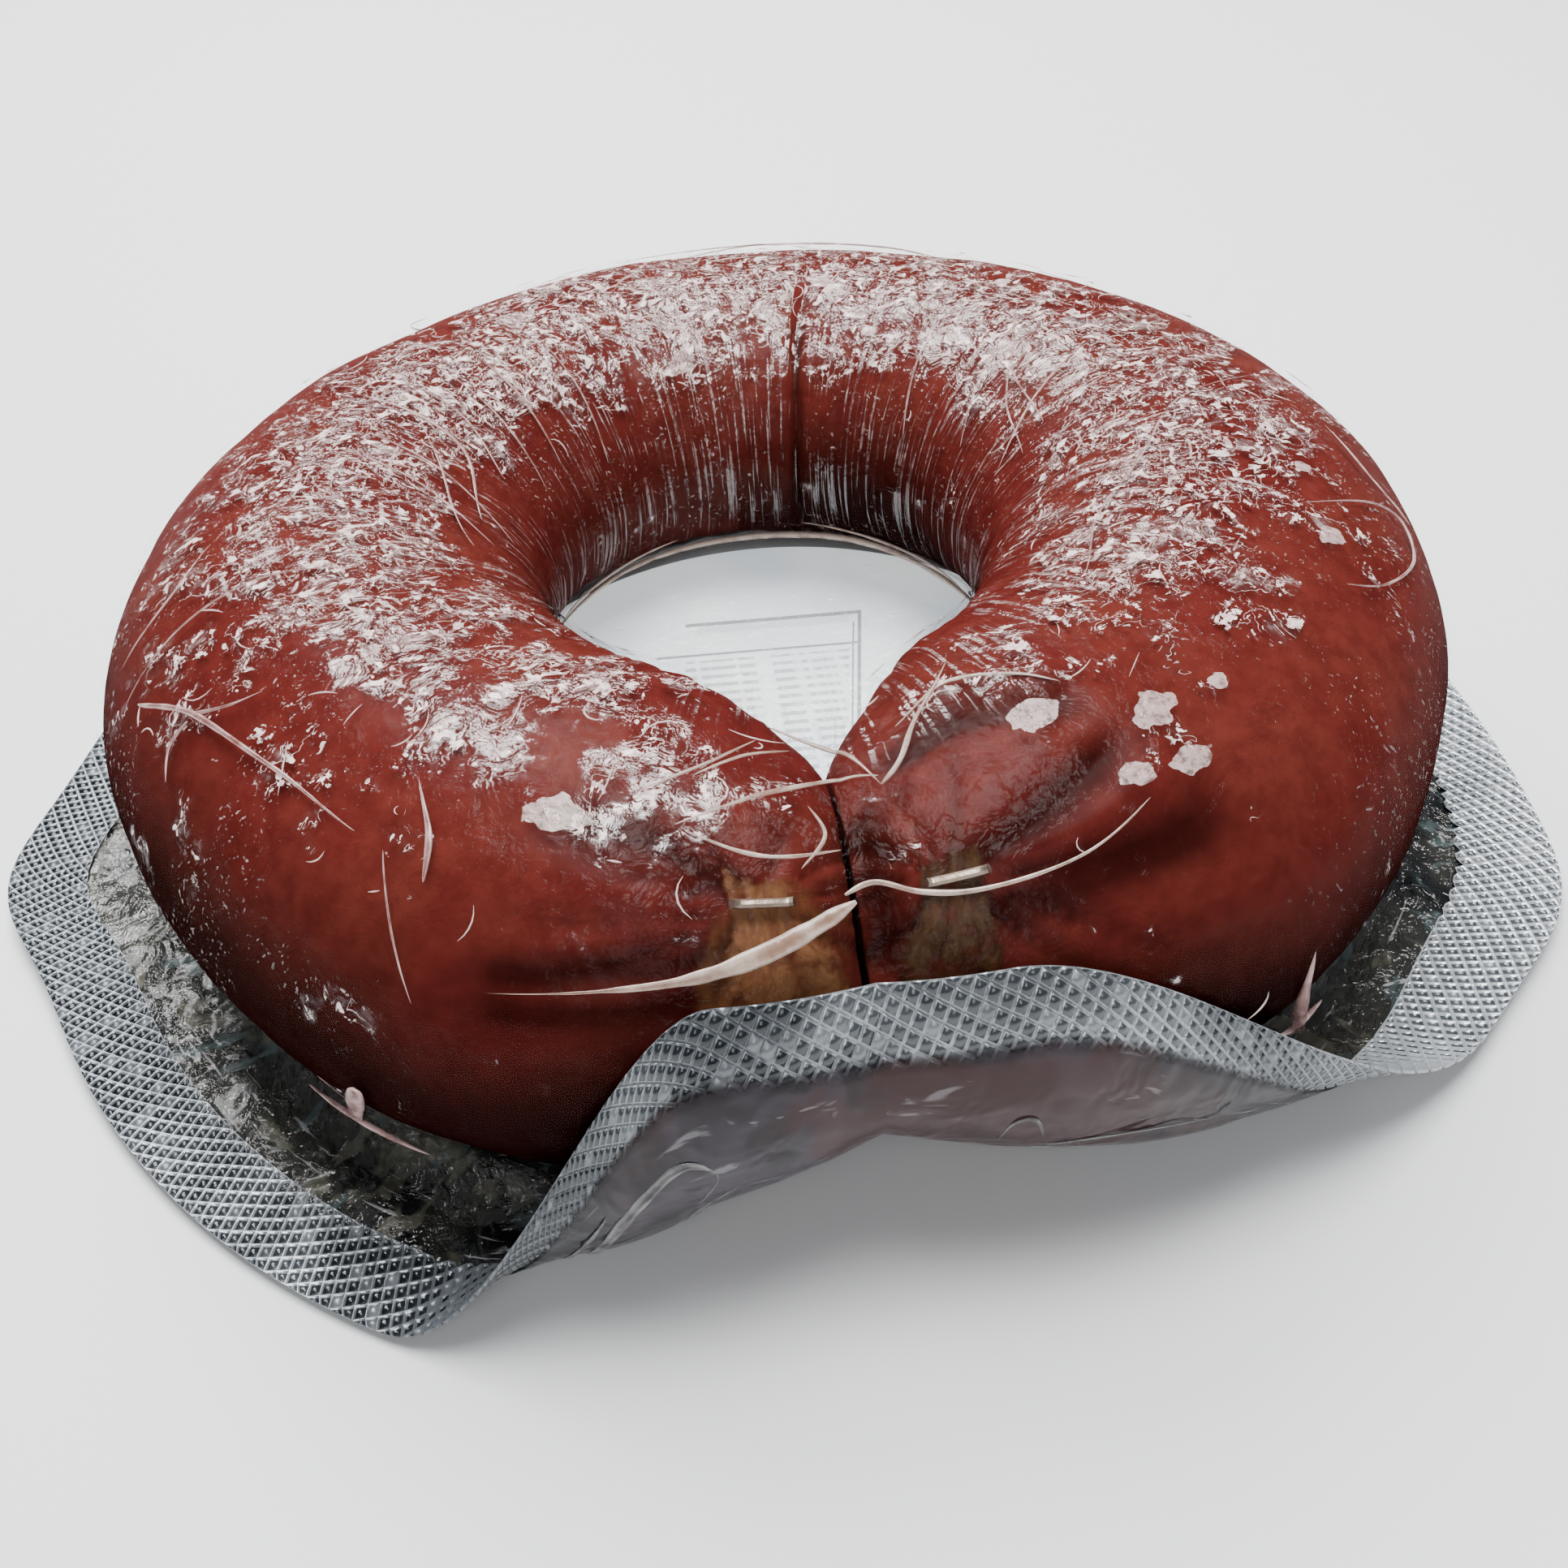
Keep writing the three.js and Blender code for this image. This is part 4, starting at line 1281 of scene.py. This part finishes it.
def label_finish(settings):
    """Paper with a plain ruled panel: a border, a header bar and faint grey rows, no writing. The
    paper glows a little, painted light in the hole.
    """
    f = Finish("label paper")
    where = f.position()
    x, y = f.axis(where, "X") / MM, f.axis(where, "Y") / MM
    # The panel's own axes, which stand a little askew.
    turned_x = x * 0.985 - y * 0.174
    turned_y = y * 0.985 + x * 0.07

    def stripe(v, middle, half):
        return 1 - f.step(abs(v - middle), half * 0.7, half * 1.3)

    def within(v, low, high):
        return f.step(v, low - 0.2, low + 0.2) * (1 - f.step(v, high - 0.2, high + 0.2))

    right = stripe(turned_x, 12.6, 0.3) * within(turned_y, -12, 29)
    inner = stripe(turned_x, 11.6, 0.15) * within(turned_y, -12, 26)
    header = stripe(turned_y, 28.6, 0.45) * within(turned_x, -16, 12.6)
    rule = stripe(turned_y, 20.5, 0.3) * within(turned_x, -20, 12.6)
    rows = f.node("ShaderNodeMath", {"operation": "PINGPONG"}, {0: turned_y, 1: 1.05})
    broken = f.step(f.noise(f.vector("MULTIPLY", where, (1, 0.02, 1)), 2.4, 2), 0.4, 0.52)
    dashes = (1 - f.step(rows, 0.35, 0.6)) * broken
    faint = dashes * within(turned_x, -15, 11) * within(turned_y, -14, 19)
    bar = within(turned_y, 26, 28.4) * within(turned_x, -14, 11) * 0.25
    ink = (right + inner + header + rule + bar + faint * 0.7).clamped()
    fibres = f.noise(where, 1.5, 4, 0.6)
    shade = f.noise(where, 30, 2)
    paper = f.blend(f.step(shade, 0.35, 0.65), settings.paper_colour, (0.74, 0.8, 0.86))
    colour = f.blend(ink * 0.75, paper, settings.ink_colour)
    shader = f.skin(
        Base_Color=colour,
        Roughness=0.55,
        Normal=f.bump(fibres, 0.06),
        # Painted light: the label glows with its own colour.
        Emission_Color=colour,
        Emission_Strength=0.85,
    )
    return f.finished(shader)


# ---- settings ------------------------------------------------------------------------


def colour_setting(name, default, description):
    about = {"name": name, "description": description, "default": default}
    return bpy.props.FloatVectorProperty(**about, subtype="COLOR", size=3, min=0, max=1)


def length_setting(name, millimetres, description):
    about = {"name": name, "description": description, "default": millimetres * MM}
    return bpy.props.FloatProperty(**about, unit="LENGTH", min=0, precision=5)


def share_setting(name, default, description):
    about = {"name": name, "description": description, "default": default}
    return bpy.props.FloatProperty(**about, min=0, max=1)


def angle_setting(name, degrees, description):
    about = {"name": name, "description": description, "default": math.radians(degrees)}
    return bpy.props.FloatProperty(**about, subtype="ANGLE")


def count_setting(name, default, description):
    about = {"name": name, "description": description, "default": default}
    return bpy.props.IntProperty(**about, min=0)


class SausageSettings(bpy.types.PropertyGroup):
    lit_colour: colour_setting("Casing", (0.1, 0.0145, 0.0115), "The smoked casing on top")
    warm_colour: colour_setting("Warm patches", (0.13, 0.024, 0.017), "Thinner casing over fat")
    deep_colour: colour_setting("Grain", (0.045, 0.004, 0.0038), "The darker grain of the meat")
    # Painted shade: the colour that the casing is darkened to low down.
    underside_shade_colour: colour_setting("Underside", (0.006, 0.0006, 0.0005), "The casing low down")
    tie_colour: colour_setting("Tied casing", (0.13, 0.055, 0.022), "The dry casing round the ties")
    pleat_depth: length_setting("Pleats", 1.6, "Depth of the gathers at the ties")
    kink_depth: length_setting("Kink", 2.4, "Depth of the crease at the back of the ring")


class FilmSettings(bpy.types.PropertyGroup):
    # The crinkles' colour: partly the film's own whitening, partly painted highlight.
    crinkle_highlight_tint: colour_setting("Creases", (0.92, 0.72, 0.68), "The film where it is crinkled")
    fold_tint: colour_setting("Folds", (0.62, 0.42, 0.4), "The film where it is folded double")
    crinkle_highlight_strength: share_setting("Crinkles", 0.92, "How strongly the fine crinkles show")
    wrinkle_height: length_setting("Wrinkles", 0.35, "Height of the wrinkles inside the ring")
    short_folds: count_setting("Short folds", 300, "How many short folds lie on the crest")
    seed: count_setting("Seed", 11, "Picks the places of the short folds")


class SealSettings(bpy.types.PropertyGroup):
    pitch: length_setting("Pitch", 1.6, "From one embossed pit to the next")
    pit_depth: length_setting("Depth", 0.32, "Depth of the pits")
    rim: share_setting("Rim", 0.12, "Share of each cell that stays level round its pit")
    pit_floor: share_setting("Floor", 0.84, "Size of a pit's floor as a share of its mouth")
    slope: share_setting("Slope", 0.5, "How much the rows of pits run askew to the pack's edge")
    lean: share_setting("Lean", 0.5, "How much the columns of pits lean over")


class LabelSettings(bpy.types.PropertyGroup):
    paper_colour: colour_setting("Paper", (0.9, 0.94, 0.95), "The label's paper")
    ink_colour: colour_setting("Rules", (0.1, 0.13, 0.13), "The rules of the plain panel")


class StudioSettings(bpy.types.PropertyGroup):
    floor_colour: colour_setting("Floor", (0.93, 0.94, 0.95), "The plain floor")
    distance: length_setting("Camera distance", 214.67, "From the camera to the point it looks at")
    azimuth: angle_setting("Azimuth", -5.28, "Camera's place round the pack")
    elevation: angle_setting("Elevation", 41.92, "Camera's height angle")
    roll: angle_setting("Roll", -4.02, "Camera's tilt about its own line")
    lens: bpy.props.FloatProperty(
        name="Lens",
        description="Focal length on a 36 mm sensor",
        default=38.2,
        subtype="DISTANCE_CAMERA",
    )


# ---- operators -----------------------------------------------------------------------


class MakeSausage(bpy.types.Operator):
    """Makes the sausage and the gathered casing beyond its two ties"""

    bl_idname = "sausage_pack.make_sausage"
    bl_label = "Sausage"

    def execute(self, context):
        settings = context.scene.sausage_body
        mount(make_sausage_body(settings), casing_finish(settings), ["sausage"])
        pale = tail_finish("dry casing", (0.25, 0.115, 0.05), (0.13, 0.045, 0.018))
        olive = tail_finish("stained casing", (0.085, 0.04, 0.013), (0.026, 0.007, 0.004))
        mount(make_casing_tail("casing_tail_left", -1, LEFT_TIE, 6.0, 1.6), pale)
        mount(make_casing_tail("casing_tail_right", 1, RIGHT_TIE, 4.8, 2.6), olive)
        for name in ("casing_tail_left", "casing_tail_right"):
            thicken(bpy.data.objects[name], TAIL_THICKNESS)
        return {"FINISHED"}


class FinishClips(bpy.types.Operator):
    """Gives the two wire clips their metal"""

    bl_idname = "sausage_pack.finish_clips"
    bl_label = "Clips"

    def execute(self, context):
        metal = clip_finish()
        for name in ("end_clip_left", "end_clip_right"):
            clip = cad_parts[name]
            clip.data.materials.clear()
            clip.data.materials.append(metal)
        return {"FINISHED"}


class MakeFilms(bpy.types.Operator):
    """Makes the clear film drawn over the sausage and the smoky film under it"""

    bl_idname = "sausage_pack.make_films"
    bl_label = "Films"

    def execute(self, context):
        settings = context.scene.sausage_film
        mount(make_film_skin(settings), film_finish(settings), ["forming_film"])
        sheet = mount(make_base_film(), base_finish(), ["base_film"])
        thicken(sheet, SHEET_THICKNESS)
        return {"FINISHED"}


class MakeSeal(bpy.types.Operator):
    """Makes the embossed band along which the two films are sealed"""

    bl_idname = "sausage_pack.make_seal"
    bl_label = "Seal"

    def execute(self, context):
        band = emboss(context.scene.sausage_seal, seal_finish())
        mount(band, None)
        return {"FINISHED"}


class MakeFolds(bpy.types.Operator):
    """Makes the folds and strands that the film draws into"""

    bl_idname = "sausage_pack.make_folds"
    bl_label = "Folds"

    def execute(self, context):
        settings = context.scene.sausage_film
        pink = fold_finish("folded film", settings.fold_tint, (0.3, 0.12, 0.1), 0.25)
        cream = fold_finish("drawn film ribbon", (0.66, 0.52, 0.44), (0.4, 0.25, 0.18), 0.4)
        grey = fold_finish("flap fold", (0.24, 0.24, 0.24), (0.09, 0.08, 0.085), 0.3)
        mount(make_folds("flap_folds", FLAP_FOLDS, on_flap), grey)
        mount(make_folds("film_folds", LONG_FOLDS), pink)
        mount(make_folds("end_folds", END_FOLDS), cream)
        short = fold_finish("short folds", settings.crinkle_highlight_tint, settings.crinkle_highlight_tint, 0.6)
        mount(make_short_folds(settings, short), None)
        return {"FINISHED"}


class MakeLabel(bpy.types.Operator):
    """Makes the round paper label under the base film"""

    bl_idname = "sausage_pack.make_label"
    bl_label = "Label"

    def execute(self, context):
        mount(make_label(), label_finish(context.scene.sausage_label), ["label"])
        return {"FINISHED"}


# The stage, in millimetres but for the softboxes: the floor's reach and level, the point looked at
# and the camera's sensor. Each softbox has its name, its place and size in metres and its power.
FLOOR_REACH, FLOOR_LEVEL = 3000.0, -0.05
LOOKED_AT = (-2.39, -33.14, 19.53)
ROOM_LIGHT, ROOM_COLOUR = 0.2, (0.93, 0.96, 1.0, 1)
SENSOR_WIDTH = 36
SOFTBOXES = (
    ("window", (-0.15, 0.65, 0.8), 0.6, 15.0),
    ("overhead", (0.05, 0.05, 0.9), 0.5, 14.0),
    ("front fill", (-0.1, -0.8, 0.7), 0.5, 3.0),
)


class SetStage(bpy.types.Operator):
    """Lays the floor, hangs the lights and sets up the camera"""

    bl_idname = "sausage_pack.set_stage"
    bl_label = "Stage"

    def execute(self, context):
        settings = context.scene.sausage_studio
        self.lay_floor(settings)
        self.hang_lights(context)
        self.set_camera(context, settings)
        return {"FINISHED"}

    def lay_floor(self, settings):
        f = Finish("studio floor")
        cloud = f.noise(f.position(), 400, 2)
        colour = f.blend(f.step(cloud, 0.2, 0.8) * 0.3, settings.floor_colour, (0.8, 0.81, 0.83))
        material = f.finished(f.skin(Base_Color=colour, Roughness=0.7))
        far, below = FLOOR_REACH, FLOOR_LEVEL
        points = [(-far, -far, below), (far, -far, below), (far, far, below), (-far, far, below)]
        floor = make_mesh("floor", points, [(0, 1, 2, 3)])
        floor.data.materials.append(material)

    def hang_lights(self, context):
        world = bpy.data.worlds.new("studio")
        world.use_nodes = True
        background = world.node_tree.nodes["Background"]
        background.inputs["Color"].default_value = ROOM_COLOUR
        background.inputs["Strength"].default_value = ROOM_LIGHT
        context.scene.world = world
        for name, spot, size, power in SOFTBOXES:
            light = bpy.data.lights.new(name, "AREA")
            light.size = size
            light.energy = power
            lamp = bpy.data.objects.new(name, light)
            lamp.location = spot
            lamp.rotation_euler = (-Vector(spot)).to_track_quat("-Z", "Y").to_euler()
            context.scene.collection.objects.link(lamp)

    def set_camera(self, context, settings):
        target = Vector(LOOKED_AT) * MM
        a, e, roll = settings.azimuth, settings.elevation, settings.roll
        back = Vector((math.sin(a) * math.cos(e), -math.cos(a) * math.cos(e), math.sin(e)))
        camera = bpy.data.cameras.new("camera")
        camera.lens = settings.lens
        camera.sensor_width = SENSOR_WIDTH
        camera.clip_start = 0.01
        holder = bpy.data.objects.new("camera", camera)
        holder.location = target + back * settings.distance
        holder.rotation_mode = "QUATERNION"
        holder.rotation_quaternion = (-back).to_track_quat("-Z", "Y") @ Quaternion((0, 0, 1), roll)
        context.scene.collection.objects.link(holder)
        context.scene.camera = holder


class SausagePanel(bpy.types.Panel):
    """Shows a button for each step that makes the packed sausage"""

    bl_idname = "VIEW3D_PT_sausage_pack"
    bl_label = "Packed Sausage"
    bl_space_type = "VIEW_3D"
    bl_region_type = "UI"
    bl_category = "Sausage"

    def draw(self, context):
        for operator in OPERATORS:
            self.layout.operator(operator.bl_idname)


OPERATORS = (MakeSausage, FinishClips, MakeFilms, MakeSeal, MakeFolds, MakeLabel, SetStage)
SETTINGS = {
    "sausage_body": SausageSettings,
    "sausage_film": FilmSettings,
    "sausage_seal": SealSettings,
    "sausage_label": LabelSettings,
    "sausage_studio": StudioSettings,
}


def register():
    for group in (*SETTINGS.values(), *OPERATORS, SausagePanel):
        bpy.utils.register_class(group)
    for name, group in SETTINGS.items():
        setattr(bpy.types.Scene, name, bpy.props.PointerProperty(type=group))


def unregister():
    for name in SETTINGS:
        delattr(bpy.types.Scene, name)
    for group in reversed((*SETTINGS.values(), *OPERATORS, SausagePanel)):
        bpy.utils.unregister_class(group)


def main():
    register()
    for operator in OPERATORS:
        group, name = operator.bl_idname.split(".")
        getattr(getattr(bpy.ops, group), name)()


if __name__ == "__main__":
    main()
